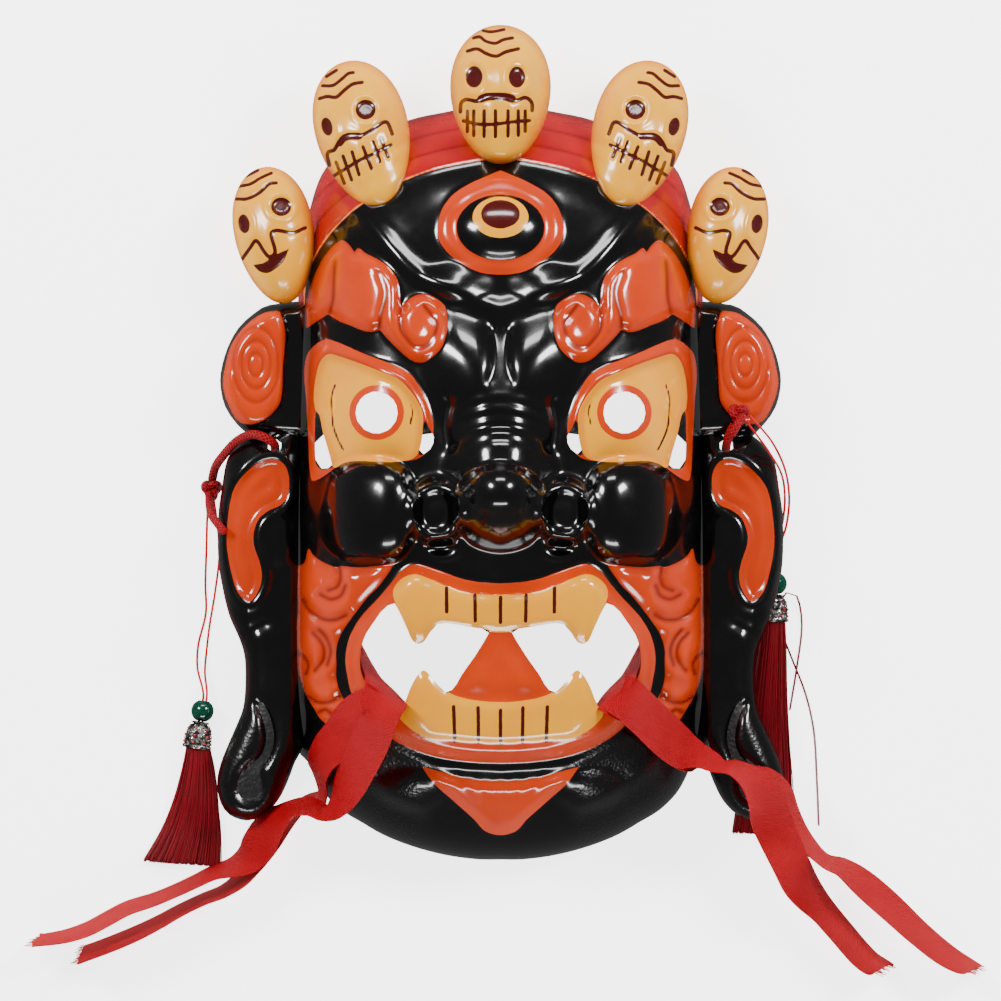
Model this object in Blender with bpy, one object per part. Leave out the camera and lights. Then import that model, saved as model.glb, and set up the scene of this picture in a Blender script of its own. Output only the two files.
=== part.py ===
"""Tibetan opera mask: a moulded wrathful mask with ribbon ties and ear tassels, lying face up.

The mask rests on its own rim. +Z points out of the face, +Y to its top and +X to the viewer's right.
Sizes are in millimetres, and the meshes are written in metres.
"""
import math

import bmesh
import bpy
import numpy as np
from mathutils import Vector
from mathutils.geometry import delaunay_2d_cdt

MM = 0.001

# Mask
MASK_WIDTH = 250.0
MASK_HEIGHT = 333.0
MASK_DEPTH = 105.0
WALL = 2.5
PUPIL_HOLE = 18.4
EAR_HOLE = 6.4
EAR_RIM_LIFT = 14.0

# Ties and tassels
GAP = 0.3
RIBBON_WIDTH = 20.0
RIBBON_THICKNESS = 0.6
CORD_DIAMETER = 4.0
KNOT_DIAMETER = 7.0
THREAD_DIAMETER = 1.1
BEAD_DIAMETER = 10.0
BEAD_BORE = 4.0
CAP_DIAMETER = 12.4
CAP_LENGTH = 12.0
CAP_WALL = 0.9
TASSEL_THICKNESS = 8.0
TASSEL_LENGTH = {"left": 44.0, "right": 88.0}
TASSEL_SPREAD = {"left": 34.0, "right": 29.0}

# The carving is drawn at these sizes, and stretched to the sizes above
DRAWN_WIDTH = 250.0
DRAWN_HEIGHT = 333.0
DRAWN_DEPTH = 105.0

# Spacing of the points that the faces join
LINE_STEP = 7.2
FACE_STEP = 10.5
BACK_STEP = 15.0
RIBBON_STEP = 11.0
THREAD_STEP = 8.0

# How steeply a ribbon hangs where it leaves the jaw
DRAPE_SLOPE = 1.8
TAIL_LIFT = 1.6

# Outlines of the right half, from the top down; a point given twice is a corner
HEAD = [
    (0, 149), (24, 146.5), (40, 143), (59.5, 134.5), (71.5, 127.5), (79, 119), (84, 104.5), (87, 89.5),
    (89, 71.5), (91, 19), (92.5, -51.5), (92, -113), (88.5, -137.5), (85, -141), (82, -147.5),
    (70.5, -162), (52, -173), (24.5, -182), (0, -184),
]
EAR = [
    (88, 11), (102, 5.5), (111, 3.5), (120.5, -7), (124.5, -32), (124.5, -51.5), (119.5, -76.5),
    (113, -93.5), (113.5, -116.5), (120, -132.5), (125, -149.5), (123.5, -158.5), (119.5, -164),
    (111.5, -166.5), (104.5, -164), (98, -157.5), (90.5, -140.5), (85.5, -126.5), (84.5, -69),
    (85.5, -16.5),
]
DISC = [
    (84, 60), (102, 61), (108.5, 57.5), (115.5, 51), (120.5, 42), (123.5, 31), (123.5, 24),
    (121.5, 16), (116.5, 8.5), (111, 4), (100, 2), (84, 4),
]
HELIX = [
    (93.5, -13), (94, -24), (101.5, -29.5), (108.5, -39), (108.5, -45), (105, -59), (110.5, -70),
    (118.5, -57), (120.5, -45), (117.5, -20.5), (106, -8.5),
]
BROW = [
    (85.5, 50.5), (85.5, 62.5), (79, 79.5), (69.5, 89), (64, 83.5), (64, 83.5), (54, 80.5),
    (46.5, 74), (43.5, 59.5), (43.5, 59.5), (37, 64.5), (28, 63), (23, 54.5), (25.5, 42), (34, 35),
    (44.5, 40.5), (53, 49.5), (53, 49.5), (60, 49), (75.5, 56.5), (75.5, 56.5),
]
LID = [
    (83, -16.5), (85.5, 18.5), (86.5, 31.5), (81, 43.5), (76.5, 45.5), (61, 39.5), (45.5, 33.5),
    (35.5, 24.5), (29.5, 9.5), (30, -1), (36, -7), (52, -7.5), (69.5, -9),
]
EYEBALL = [
    (81.5, 15), (81, 29.5), (75.5, 39), (61, 34.5), (45, 28), (36.5, 18.5), (34, 5.5),
    (39.5, -7.5), (64, -8), (73, -11), (78.5, 5),
]
CHEEK = [
    (84.5, -45.5), (78.5, -52), (63, -54.5), (45.5, -51.5), (45.5, -51.5), (53, -62.5), (62, -72.5),
    (70, -84), (72, -96.5), (70.5, -109), (66.5, -118.5), (74.5, -124), (85.5, -111), (90, -97.5),
    (92, -82), (89, -74), (90.5, -57.5),
]
LIPS = [
    (0, -61.5), (17, -59.5), (37.5, -53), (48, -61.5), (60.5, -75.5), (67, -88), (67, -103),
    (60, -118.5), (48, -129.5), (26.5, -138), (0, -140.5),
]
MOUTH_HOLE = [
    (46.5, -70), (46.5, -70), (55, -78), (61, -90), (61, -100.5), (53.5, -111), (45, -117.5),
    (39.5, -107.5), (33.5, -99.5), (23.5, -109.5), (11, -93), (5, -82), (27, -79), (36, -88),
    (41, -81),
]
SLOT_OUTER = [(81, 14), (75.5, -3.5), (73.5, -11), (73.5, -11), (81, -9), (82, 2)]
SLOT_INNER = [(33.5, 11.5), (33.5, 11.5), (29, 2.5), (35, -6), (35, -6), (34.2, 3)]
TEETH_UPPER = [
    (0, -66.5), (20, -64), (37.5, -57.5), (47, -66), (41, -82), (36, -88.5), (29.5, -82.5), (14, -81.5),
    (0, -83),
]
TEETH_LOWER = [
    (0, -113.5), (17, -111.5), (27, -105.5), (33.5, -98.5), (40, -108), (44, -119), (31.5, -129.5),
    (0, -132),
]
THIRD_EYE = [(0, 119.5), (0, 119.5), (13.5, 113.5), (25.5, 102.5), (27, 89), (16.5, 78), (0, 73.5)]
GOATEE = [(0, -148), (22.5, -145), (34.5, -142), (34.5, -142), (22.5, -155.5), (7, -170.5), (0, -172.5)]

# Five skulls on the band: outline as an egg, the height of its crest and how far it leans back
SKULLS = {
    "centre": {"middle": (0, 153), "long": 31, "wide": 22, "turn": 0, "crest": 64, "lean": 0.30},
    "inner": {"middle": (60.5, 136), "long": 33, "wide": 20.5, "turn": -14, "crest": 55, "lean": 0.30},
    "outer": {"middle": (99.5, 91.5), "long": 30.5, "wide": 17.5, "turn": -10, "crest": 42, "lean": 0.15},
}
SKULL_EYES = [(-0.36, 0.16), (0.36, 0.16)]
JAW_TAPER = 0.12

# Rounded forms that swell out of the face: middle x, y, half width, half height, rise, fullness
SWELLS = [
    (0, -30, 19.5, 17.5, 17.6, 0.5),
    (31, -28, 12.5, 13, 11, 0.6),
    (57, -30, 20.5, 23.5, 15, 0.55),
    (25.5, -45, 7.5, 4.5, -4, 1.0),
    (15, 34, 14, 14, 7, 0.9),
    (19, 71, 17, 9, 3.5, 1.2),
    (0, 94.5, 19.2, 14.4, 7, 0.6),
    (55, 12, 25, 23, 5, 1.2),
    (40, -151, 17, 8, 4, 1.2),
    (0, -84, 14, 30, -4, 1.2),
]
# Zones that stand proud of the face, or lie below it: outline, rise, width of the slope
ZONES = [
    (BROW, 5.0, 4.5), (LID, 3.0, 3.5), (EYEBALL, -3.5, 3.0), (CHEEK, 3.0, 4.0), (HELIX, 3.0, 4.0),
]
MIDDLE_ZONES = [
    (LIPS, 6.0, 5.0), (THIRD_EYE, 2.5, 3.0), (GOATEE, 3.5, 4.0), (TEETH_UPPER, 1.5, 3.0),
    (TEETH_LOWER, 1.5, 3.0),
]
# Lines cut into the carving, or raised on it: points, rise, half width
LINES = [
    ([(52, 78), (50.5, 68), (51, 61.5), (53, 51)], -2.0, 2.2),
    ([(72.5, 86), (73.5, 71), (75, 58)], -2.0, 2.2),
    ([(44, 58), (41, 45.5), (33.5, 42), (28.5, 49.5), (32, 58)], -2.5, 2.2),
    ([(70, -55.5), (72, -61), (77, -66.5)], -1.5, 2.2),
    ([(86.5, -68), (78.5, -77), (69, -76)], -1.8, 2.2),
    ([(81.5, -85.5), (77, -93), (79, -100)], -1.8, 2.2),
    ([(84, -112), (72.5, -114)], -1.8, 2.2),
    ([(0, 58), (21, 66.5), (39.5, 77), (54.5, 93)], 3.0, 4.5),
    ([(0, 20), (17, 17)], -2.2, 2.4),
    ([(0, 10), (18, 7)], -2.2, 2.4),
    ([(104.5, -114), (101.5, -129), (107, -142.5)], -4.0, 3.2),
    ([(78.5, -128.5), (66, -141.5), (34.5, -158)], 3.0, 4.0),
    ([(0, -144), (30, -141), (56, -128)], 2.0, 2.6),
    ([(11, -112), (11, -130)], -1.2, 1.6),
    ([(23, -109), (23, -129)], -1.2, 1.6),
    ([(11, -67), (11, -81)], -1.2, 1.6),
    ([(24, -65), (24, -79)], -1.2, 1.6),
]

BLACK = (0.012, 0.011, 0.012)
RIBBON_RED = (0.55, 0.012, 0.022)
CORD_RED = (0.6, 0.01, 0.015)
TASSEL_RED = (0.30, 0.004, 0.008)
BEAD_GREEN = (0.0, 0.07, 0.045)
SILVER = (0.62, 0.61, 0.59)


def clear_scene():
    for thing in list(bpy.data.objects):
        bpy.data.objects.remove(thing, do_unlink=True)


def make_material(name, colour, roughness, metallic=0.0):
    material = bpy.data.materials.new(name)
    material.use_nodes = True
    shader = material.node_tree.nodes["Principled BSDF"]
    shader.inputs["Base Color"].default_value = (*colour, 1.0)
    shader.inputs["Roughness"].default_value = roughness
    shader.inputs["Metallic"].default_value = metallic
    return material


def add_object(name, verts, faces, material):
    """An object of the given millimetre points, with its faces turned outwards."""
    mesh = bpy.data.meshes.new(name)
    mesh.from_pydata([tuple(MM * float(c) for c in v) for v in verts], [], faces)
    bm = bmesh.new()
    bm.from_mesh(mesh)
    bmesh.ops.recalc_face_normals(bm, faces=bm.faces)
    bmesh.ops.triangulate(bm, faces=bm.faces)
    bm.to_mesh(mesh)
    bm.free()
    mesh.materials.append(material)
    thing = bpy.data.objects.new(name, mesh)
    bpy.context.scene.collection.objects.link(thing)
    return thing


def smooth_curve(points, step, closed):
    """Points a step apart on a smooth curve; a point given twice is a corner."""
    pts = np.array(points, float)
    count = len(pts)
    out = []
    for i in range(count if closed else count - 1):
        a, b = pts[i], pts[(i + 1) % count]
        length = np.linalg.norm(b - a)
        if length < 1e-9:
            continue
        before = pts[(i - 1) % count] if closed or i > 0 else a
        after = pts[(i + 2) % count] if closed or i + 2 < count else b
        start = (b - before) * length / (length + np.linalg.norm(a - before))
        end = (after - a) * length / (length + np.linalg.norm(after - b))
        steps = max(1, round(length / step))
        for k in range(steps):
            t = k / steps
            out.append((2 * t**3 - 3 * t**2 + 1) * a + (t**3 - 2 * t**2 + t) * start
                       + (3 * t**2 - 2 * t**3) * b + (t**3 - t**2) * end)
    if not closed:
        out.append(pts[-1])
    return np.array(out)


def both_halves(half):
    """A whole outline from its right half, which starts and ends on the middle line."""
    return half + [(-x, y) for x, y in reversed(half[1:-1])]


def signed_distance(loop, x, y):
    """How far each point is inside a closed outline; outside it is negative."""
    a = loop
    b = np.roll(loop, -1, axis=0)
    edge = b - a
    px = x[:, None] - a[:, 0]
    py = y[:, None] - a[:, 1]
    length2 = np.maximum((edge**2).sum(axis=1), 1e-12)
    along = np.clip((px * edge[:, 0] + py * edge[:, 1]) / length2, 0, 1)
    away = np.hypot(px - along * edge[:, 0], py - along * edge[:, 1]).min(axis=1)
    spans = (a[:, 1] > y[:, None]) != (b[:, 1] > y[:, None])
    slope = edge[:, 0] / np.where(edge[:, 1] == 0, 1, edge[:, 1])
    inside = (spans & (px < slope * py)).sum(axis=1) % 2 == 1
    return np.where(inside, away, -away)


def line_distance(line, x, y):
    a, b = line[:-1], line[1:]
    edge = b - a
    px = x[:, None] - a[:, 0]
    py = y[:, None] - a[:, 1]
    along = np.clip((px * edge[:, 0] + py * edge[:, 1]) / (edge**2).sum(axis=1), 0, 1)
    return np.hypot(px - along * edge[:, 0], py - along * edge[:, 1]).min(axis=1)


def ease(t):
    t = np.clip(t, 0, 1)
    return t * t * (3 - 2 * t)


def dome(depth_in, reach):
    """A quarter round from 0 at the edge to 1 at a reach inside it."""
    return np.sqrt(np.maximum(0, 1 - (1 - np.clip(depth_in / reach, 0, 1))**2))


def egg(skull, step=None):
    """A skull's outline, narrower at the jaw, turned about its middle."""
    count = 24 if step is None else max(12, round(math.tau * skull["wide"] * 1.25 / step))
    turn = math.radians(skull["turn"])
    points = []
    for k in range(count):
        angle = math.tau * k / count
        up = skull["long"] * math.cos(angle)
        across = skull["wide"] * math.sin(angle) * (1 + JAW_TAPER * math.cos(angle))
        points.append((skull["middle"][0] + across * math.cos(turn) - up * math.sin(turn),
                       skull["middle"][1] + across * math.sin(turn) + up * math.cos(turn)))
    return np.array(points)


HEAD_LOOP = smooth_curve(both_halves(HEAD), LINE_STEP, True)
EAR_LOOP = smooth_curve(EAR, LINE_STEP, True)
DISC_LOOP = smooth_curve(DISC, LINE_STEP, True)
SKULL_LOOPS = {name: egg(skull, LINE_STEP) for name, skull in SKULLS.items()}
FINE = 2.0
ZONE_FIELDS = [(smooth_curve(z, FINE, True), rise, slope) for z, rise, slope in ZONES]
MIDDLE_FIELDS = [(smooth_curve(both_halves(z), FINE, True), rise, slope) for z, rise, slope in MIDDLE_ZONES]
LINE_FIELDS = [(smooth_curve(points, FINE, False), rise, width) for points, rise, width in LINES]


def relief(x, y):
    """What the carving adds to the plain form, in drawn millimetres."""
    side = np.abs(x)
    rise = np.zeros_like(x)
    for cx, cy, rx, ry, height, fullness in SWELLS:
        inside = np.maximum(0, 1 - ((side - cx) / rx)**2 - ((y - cy) / ry)**2)
        rise += height * inside**fullness
    for loop, height, slope in ZONE_FIELDS:
        rise += height * ease(signed_distance(loop, side, y) / slope)
    for loop, height, slope in MIDDLE_FIELDS:
        rise += height * ease(signed_distance(loop, x, y) / slope)
    for line, height, width in LINE_FIELDS:
        rise += height * np.exp(-(line_distance(line, side, y) / width)**2)
    bridge = 11 * np.exp(-(x / 15)**2) * ease((58 - y) / 45) * ease((y + 48) / 22)
    return rise + bridge


def front_drawn(x, y):
    """Height of the mask's front, in drawn millimetres, over drawn points."""
    side = np.abs(x)
    head_in = signed_distance(HEAD_LOOP, x, y)
    off_head = ease(-head_in / 12)
    lift = EAR_RIM_LIFT * off_head
    carving = relief(x, y)
    height = np.full_like(x, -1.0)
    plain = 77 - 0.0010 * (y + 10)**2 - 0.0016 * x**2
    face = plain * dome(head_in, 48) + carving * ease(head_in / 9)
    height = np.where(head_in > -0.02, np.maximum(face, 0), height)
    for loop, crest, reach, carved in ((EAR_LOOP, 27, 10, 1.0), (DISC_LOOP, 33, 9, 0.0)):
        inside = signed_distance(loop, side, y)
        form = lift + (crest - lift) * dome(inside, reach) + carved * carving * ease(inside / 3)
        if not carved:
            ring = np.hypot(side - 107.5, (y - 34) * 0.85)
            form -= 1.6 * np.exp(-((ring - 8) / 1.6)**2) + 1.2 * np.exp(-((ring - 13.5) / 1.6)**2)
        height = np.where(inside > -0.02, np.maximum(height, np.maximum(form, lift)), height)
    for name, skull in SKULLS.items():
        across, up = skull_place(skull, side, y)
        out2 = up**2 + (across / (1 + JAW_TAPER * up))**2
        crest = skull["crest"] - skull["lean"] * (np.hypot(side, y) - np.hypot(*skull["middle"]))
        base = 0.55 * crest * off_head
        form = base + (crest - base) * np.sqrt(np.maximum(0, 1 - out2)) - skull_dents(across, up)
        height = np.where(out2 < 1.002, np.maximum(height, np.maximum(form, base)), height)
    return height


def skull_place(skull, x, y):
    """Places across and up a skull, as shares of its half width and half length."""
    turn = math.radians(skull["turn"])
    dx, dy = x - skull["middle"][0], y - skull["middle"][1]
    across = (dx * math.cos(turn) + dy * math.sin(turn)) / skull["wide"]
    return across, (-dx * math.sin(turn) + dy * math.cos(turn)) / skull["long"]


def skull_dents(across, up):
    """Eye sockets and the hollow under the cheekbones of one skull."""
    dents = np.zeros_like(across)
    for ex, ey in SKULL_EYES:
        dents += 2.5 * np.exp(-((across - ex) / 0.24)**2 - ((up - ey) / 0.17)**2)
    return dents + 2.0 * np.exp(-((up + 0.33) / 0.10)**2) * np.exp(-(across / 0.8)**4)


SCALE = np.array([MASK_WIDTH / DRAWN_WIDTH, MASK_HEIGHT / DRAWN_HEIGHT])
RISE = MASK_DEPTH / DRAWN_DEPTH


def front(x, y):
    """Height of the mask's front in millimetres over real points."""
    return RISE * front_drawn(np.asarray(x, float) / SCALE[0], np.asarray(y, float) / SCALE[1])


def offset_loop(loop, distance):
    """A closed loop moved to its left by a distance, corner by corner."""
    before = loop - np.roll(loop, 1, axis=0)
    after = np.roll(loop, -1, axis=0) - loop
    before /= np.linalg.norm(before, axis=1)[:, None]
    after /= np.linalg.norm(after, axis=1)[:, None]
    normal = np.stack([-(before + after)[:, 1], (before + after)[:, 0]], axis=1)
    normal /= np.linalg.norm(normal, axis=1)[:, None]
    left = np.stack([-after[:, 1], after[:, 0]], axis=1)
    stretch = 1 / np.clip((normal * left).sum(axis=1), 0.6, 1)
    return loop + normal * (distance * stretch)[:, None]


def inner_ring(loop, distance):
    return offset_loop(loop, math.copysign(distance, area_of(loop)))


def area_of(loop):
    nxt = np.roll(loop, -1, axis=0)
    return 0.5 * (loop[:, 0] * nxt[:, 1] - nxt[:, 0] * loop[:, 1]).sum()


def hex_points(step, x_limit, low, high):
    rows = []
    row_height = step * math.sqrt(3) / 2
    for j in range(int((high - low) / row_height) + 1):
        xs = np.arange(0.5 * step * (j % 2), x_limit, step)
        y = low + j * row_height
        rows += [(x, y) for x in xs] + [(-x, y) for x in xs if x > 0]
    return np.array(rows)


def far_from(points, others, least):
    keep = []
    for start in range(0, len(points), 400):
        part = points[start:start + 400]
        gaps = np.hypot(part[:, None, 0] - others[:, 0], part[:, None, 1] - others[:, 1]).min(axis=1)
        keep.append(gaps > least)
    return points[np.concatenate(keep)]


def triangulate(loops, lines, points, keep_face):
    """Triangles over loops, open lines and loose points, and each input point's place among them."""
    coords, edges = [], []
    for ring, closed in [(loop, True) for loop in loops] + [(line, False) for line in lines]:
        first = len(coords)
        coords += [Vector(p) for p in ring]
        edges += [(first + k, first + k + 1) for k in range(len(ring) - 1)]
        if closed:
            edges.append((first + len(ring) - 1, first))
    coords += [Vector(p) for p in points]
    verts, _, faces, sources, _, _ = delaunay_2d_cdt(coords, edges, [], 0, 1e-4)
    flat = np.array([tuple(v) for v in verts])
    middles = np.array([flat[list(face)].mean(axis=0) for face in faces])
    chosen = keep_face(middles)
    faces = [tuple(face) for face, take in zip(faces, chosen) if take]
    place = {source: k for k, many in enumerate(sources) for source in many}
    return flat, faces, place


def boundary_loops(faces):
    """Each closed chain of edges that only one face uses, in the faces' own direction."""
    used = {}
    for face in faces:
        for k, a in enumerate(face):
            b = face[(k + 1) % len(face)]
            used[(a, b)] = True
    follow = {a: b for a, b in used if (b, a) not in used}
    loops = []
    while follow:
        first, here = follow.popitem()
        chain = [first]
        while here != first:
            chain.append(here)
            here = follow.pop(here)
        loops.append(chain)
    return loops


def circle(middle, radius, count):
    return np.array([(middle[0] + radius * math.cos(math.tau * k / count),
                      middle[1] + radius * math.sin(math.tau * k / count)) for k in range(count)])


def mask_outlines():
    """The closed outlines that the shell is the union of, and its holes, in real millimetres."""
    solid = [HEAD_LOOP]
    for half in (EAR_LOOP, DISC_LOOP, SKULL_LOOPS["inner"], SKULL_LOOPS["outer"]):
        solid += [half, half[::-1] * (-1, 1)]
    solid.append(SKULL_LOOPS["centre"])
    holes = []
    for outline in (MOUTH_HOLE, SLOT_OUTER, SLOT_INNER):
        half = smooth_curve(outline, LINE_STEP * 0.8, True)
        holes += [half * SCALE, half[::-1] * (-1, 1) * SCALE]
    for sign in (1, -1):
        holes.append(circle(PUPIL_MIDDLE * (sign, 1) * SCALE, PUPIL_HOLE / 2, 20))
        holes.append(circle(EAR_HOLE_MIDDLE * (sign, 1) * SCALE, EAR_HOLE / 2, 10))
    return [loop * SCALE for loop in solid], holes


PUPIL_MIDDLE = np.array((54.2, 13.2))
EAR_HOLE_MIDDLE = np.array((99.5, -1.0))


def make_mask(material):
    """One hollow shell: carved front, plainer back a wall behind it, and a flat rim."""
    solid, holes = mask_outlines()

    def in_shell(points, margin=0.0):
        inside = np.zeros(len(points), bool)
        for loop in solid:
            inside |= signed_distance(loop, points[:, 0], points[:, 1]) > margin
        for hole in holes:
            inside &= signed_distance(hole, points[:, 0], points[:, 1]) < -margin
        return inside

    lines = []
    for loop, _, _ in ZONE_FIELDS:
        lines += [thin(loop), thin(loop) * (-1, 1)]
    lines += [thin(loop) for loop, _, _ in MIDDLE_FIELDS]
    for line, _, _ in LINE_FIELDS:
        lines += [thin(line), thin(line) * (-1, 1)]
    for cx, cy, rx, ry, rise, _ in SWELLS:
        shares = (1.0, 0.72) if rise > 6 else (1.0,)
        for share in shares:
            turns = np.arange(0, math.tau, LINE_STEP / (share * max(rx, ry)))
            ring = np.stack([cx + share * rx * np.cos(turns), cy + share * ry * np.sin(turns)], axis=1)
            lines += [ring] if cx == 0 else [ring, ring * (-1, 1)]
        if rise > 6:
            lines += [np.array([(side * cx, cy)], float) for side in ((-1, 1) if cx else (1,))]
    drawn = np.concatenate([line * SCALE for line in lines])
    rings = [inner_ring(loop, step) for loop in solid for step in (1.2, 4.0)]
    rings = np.concatenate(rings + [inner_ring(solid[0], 9.0)])
    fixed = np.concatenate(solid + holes)
    rings = far_from(rings, fixed, 0.9)
    drawn = far_from(drawn, np.concatenate([fixed, rings]), 1.8)
    drawn = thin_cloud(drawn, 2.4)
    fill = hex_points(FACE_STEP, MASK_WIDTH / 2, HEAD[-1][1] * SCALE[1], 190 * SCALE[1])
    fill = far_from(fill, np.concatenate([fixed, rings, drawn]), 0.62 * FACE_STEP)
    loose = np.concatenate([rings, drawn, fill])
    loose = loose[in_shell(loose, 0.7)]
    flat, faces, _ = triangulate(solid + holes, [], loose, in_shell)
    height = front(flat[:, 0], flat[:, 1])

    loops = boundary_loops(faces)
    loops.sort(key=lambda chain: -abs(area_of(flat[chain])))
    outer, inner = loops[0], loops[1:]
    rim = offset_loop(flat[outer], WALL)
    back_loops = [rim] + [flat[chain] for chain in inner]
    edge = flat[outer]

    def in_back(points, margin=0.0):
        inside = signed_distance(rim, points[:, 0], points[:, 1]) > margin
        for chain in inner:
            inside &= signed_distance(flat[chain], points[:, 0], points[:, 1]) < -margin
        return inside

    back_rings = np.concatenate([offset_loop(rim, 2.2), inner_ring(solid[0], 4.5), inner_ring(solid[0], 12.0),
                                 offset_loop(rim, 7.0)])
    back_rings = thin_cloud(back_rings, 3.4)
    back_fill = hex_points(BACK_STEP, MASK_WIDTH / 2, HEAD[-1][1] * SCALE[1], 190 * SCALE[1])
    back_fill = far_from(back_fill, np.concatenate([*back_loops, back_rings]), 0.6 * BACK_STEP)
    back_loose = np.concatenate([back_rings, back_fill])
    back_loose = back_loose[in_back(back_loose, 1.0)]
    back_flat, back_faces, place = triangulate(back_loops, [], back_loose, in_back)
    back_height = inner_height(back_flat, edge)
    used = sorted({k for face in back_faces for k in face})
    renumber = {k: len(flat) + n for n, k in enumerate(used)}
    for k, vertex in enumerate(outer):
        back_height[place[k]] = height[vertex]

    verts = [(x, y, z) for (x, y), z in zip(flat, height)]
    verts += [(*back_flat[k], back_height[k]) for k in used]
    shell = [face for face in faces]
    shell += [tuple(renumber[k] for k in reversed(face)) for face in back_faces]
    at = 0
    for chain in [outer] + inner:
        back = [renumber[place[at + k]] for k in range(len(chain))]
        at += len(chain)
        for k in range(len(chain)):
            n = (k + 1) % len(chain)
            shell.append((chain[n], chain[k], back[k], back[n]))
    verts, shell = drop_unused(verts, shell)
    return add_object("mask", verts, shell, material)


def thin(line):
    """Every few points of a fine line, to the step that the shell's faces need."""
    return line[::max(1, round(LINE_STEP / FINE))]


def thin_cloud(points, least):
    """The points left when each that is too near an earlier one is dropped."""
    kept = []
    for p in points:
        if not kept or np.hypot(*(np.array(kept) - p).T).min() > least:
            kept.append(p)
    return np.array(kept)


def inner_height(points, edge):
    """The back of the wall: under all of the front nearby, and close to it at the rim."""
    depth_in = signed_distance(edge, points[:, 0], points[:, 1])
    reach = np.clip(0.6 * (depth_in - WALL) + 0.5, 0.5, 0.56 * BACK_STEP)
    lowest = front(points[:, 0], points[:, 1])
    for share in (0.5, 1.0):
        for k in range(12):
            angle = math.tau * k / 12
            x = points[:, 0] + share * reach * math.cos(angle)
            y = points[:, 1] + share * reach * math.sin(angle)
            lowest = np.where(signed_distance(edge, x, y) > 0.3, np.minimum(lowest, front(x, y)), lowest)
    return np.maximum(lowest - WALL, 0.4)


def drop_unused(verts, faces):
    used = sorted({k for face in faces for k in face})
    place = {k: n for n, k in enumerate(used)}
    return [verts[k] for k in used], [tuple(place[k] for k in face) for face in faces]


def tube(name, points, diameter, material):
    """A round cord along a smooth curve through its points, with filled ends."""
    route = smooth_curve(points, max(2.2 * diameter, THREAD_STEP), False)
    curve = bpy.data.curves.new(name, "CURVE")
    curve.dimensions = "3D"
    curve.bevel_depth = MM * diameter / 2
    curve.bevel_resolution = 2
    curve.use_fill_caps = True
    spline = curve.splines.new("POLY")
    spline.points.add(len(route) - 1)
    for place, (x, y, z) in zip(spline.points, route):
        place.co = (MM * x, MM * y, MM * z, 1)
    curve.materials.append(material)
    thing = bpy.data.objects.new(name, curve)
    bpy.context.scene.collection.objects.link(thing)
    return thing


def ribbon(name, route, material):
    """A doubled ribbon: a tail over the mask, the loop inside it, and the other tail back out."""
    first = draped(route["tail_1"], None)
    second = draped(route["tail_2"], first)
    inside = smooth_curve([np.array(p) * (*SCALE, 1) for p in route["inside"]], RIBBON_STEP, False)
    places = np.concatenate([first[::-1], inside, second])
    eased = (places[:-2] + 2 * places[1:-1] + places[2:]) / 4
    bends = slice(len(first) - 1, len(first) + len(inside) + 1)
    places[bends] = eased[bends.start - 1:bends.stop - 1]
    runs = np.gradient(places, axis=0)
    widths = width_directions(runs)
    verts, faces = [], []
    for place, run, across in zip(places, runs, widths):
        run = run / np.linalg.norm(run)
        across = across - run * across.dot(run)
        across /= np.linalg.norm(across)
        up = np.cross(run, across)
        for u, v in ((-1, -1), (1, -1), (1, 1), (-1, 1)):
            verts.append(place + 0.5 * u * RIBBON_WIDTH * across + 0.5 * v * RIBBON_THICKNESS * up)
    for k in range(len(places) - 1):
        for j in range(4):
            a, b = 4 * k + j, 4 * k + (j + 1) % 4
            faces.append((a, b, b + 4, a + 4))
    last = 4 * (len(places) - 1)
    faces += [(3, 2, 1, 0), (last, last + 1, last + 2, last + 3)]
    return add_object(name, verts, faces, material)


def width_directions(runs):
    """The level direction across each run, carried over where the ribbon goes straight down."""
    across = np.array((0.0, 0.0, 0.0))
    found = []
    for run in runs:
        flat = np.array((run[1], -run[0], 0.0)) / np.linalg.norm(run)
        if np.linalg.norm(flat) > 0.3:
            flat /= np.linalg.norm(flat)
            across = -flat if across.dot(flat) < 0 else flat
        found.append(across)
    found = np.array(found)
    for _ in range(3):
        found[1:-1] = (found[:-2] + 2 * found[1:-1] + found[2:]) / 4
    return found


def draped(tail, below):
    """A tail's route from the lip to its end, laid over the mask, the tail below it and the floor."""
    path = smooth_curve([np.array(p) * (*SCALE, 1) for p in tail], RIBBON_STEP, False)
    runs = np.gradient(path[:, :2], axis=0)
    runs /= np.linalg.norm(runs, axis=1)[:, None]
    across = np.stack([runs[:, 1], -runs[:, 0]], axis=1)
    under = np.zeros(len(path))
    for u in np.linspace(-0.5, 0.5, 7):
        for v in (-0.5, 0.0, 0.5):
            spot = path[:, :2] + across * u * RIBBON_WIDTH + runs * v * RIBBON_STEP
            under = np.maximum(under, front(spot[:, 0], spot[:, 1]))
            if below is not None:
                under = np.maximum(under, tail_top(below, spot))
    length = np.concatenate([[0], np.cumsum(np.linalg.norm(np.diff(path[:, :2], axis=0), axis=1))])
    drop = np.abs(length[:, None] - length)
    hung = (under[None, :] - DRAPE_SLOPE * drop).max(axis=1)
    path[:, 2] += np.maximum(hung, 0) + RIBBON_THICKNESS / 2
    return path


def tail_top(path, spots):
    """Height to lie at over another tail, for plan points above it, and 0 beside it."""
    fine = smooth_curve(list(path), 1.5, False)
    gaps = np.linalg.norm(spots[:, None, :] - fine[None, :, :2], axis=2)
    return np.where(gaps < RIBBON_WIDTH / 2 + 1, fine[:, 2] + TAIL_LIFT, 0).max(axis=1)


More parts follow.
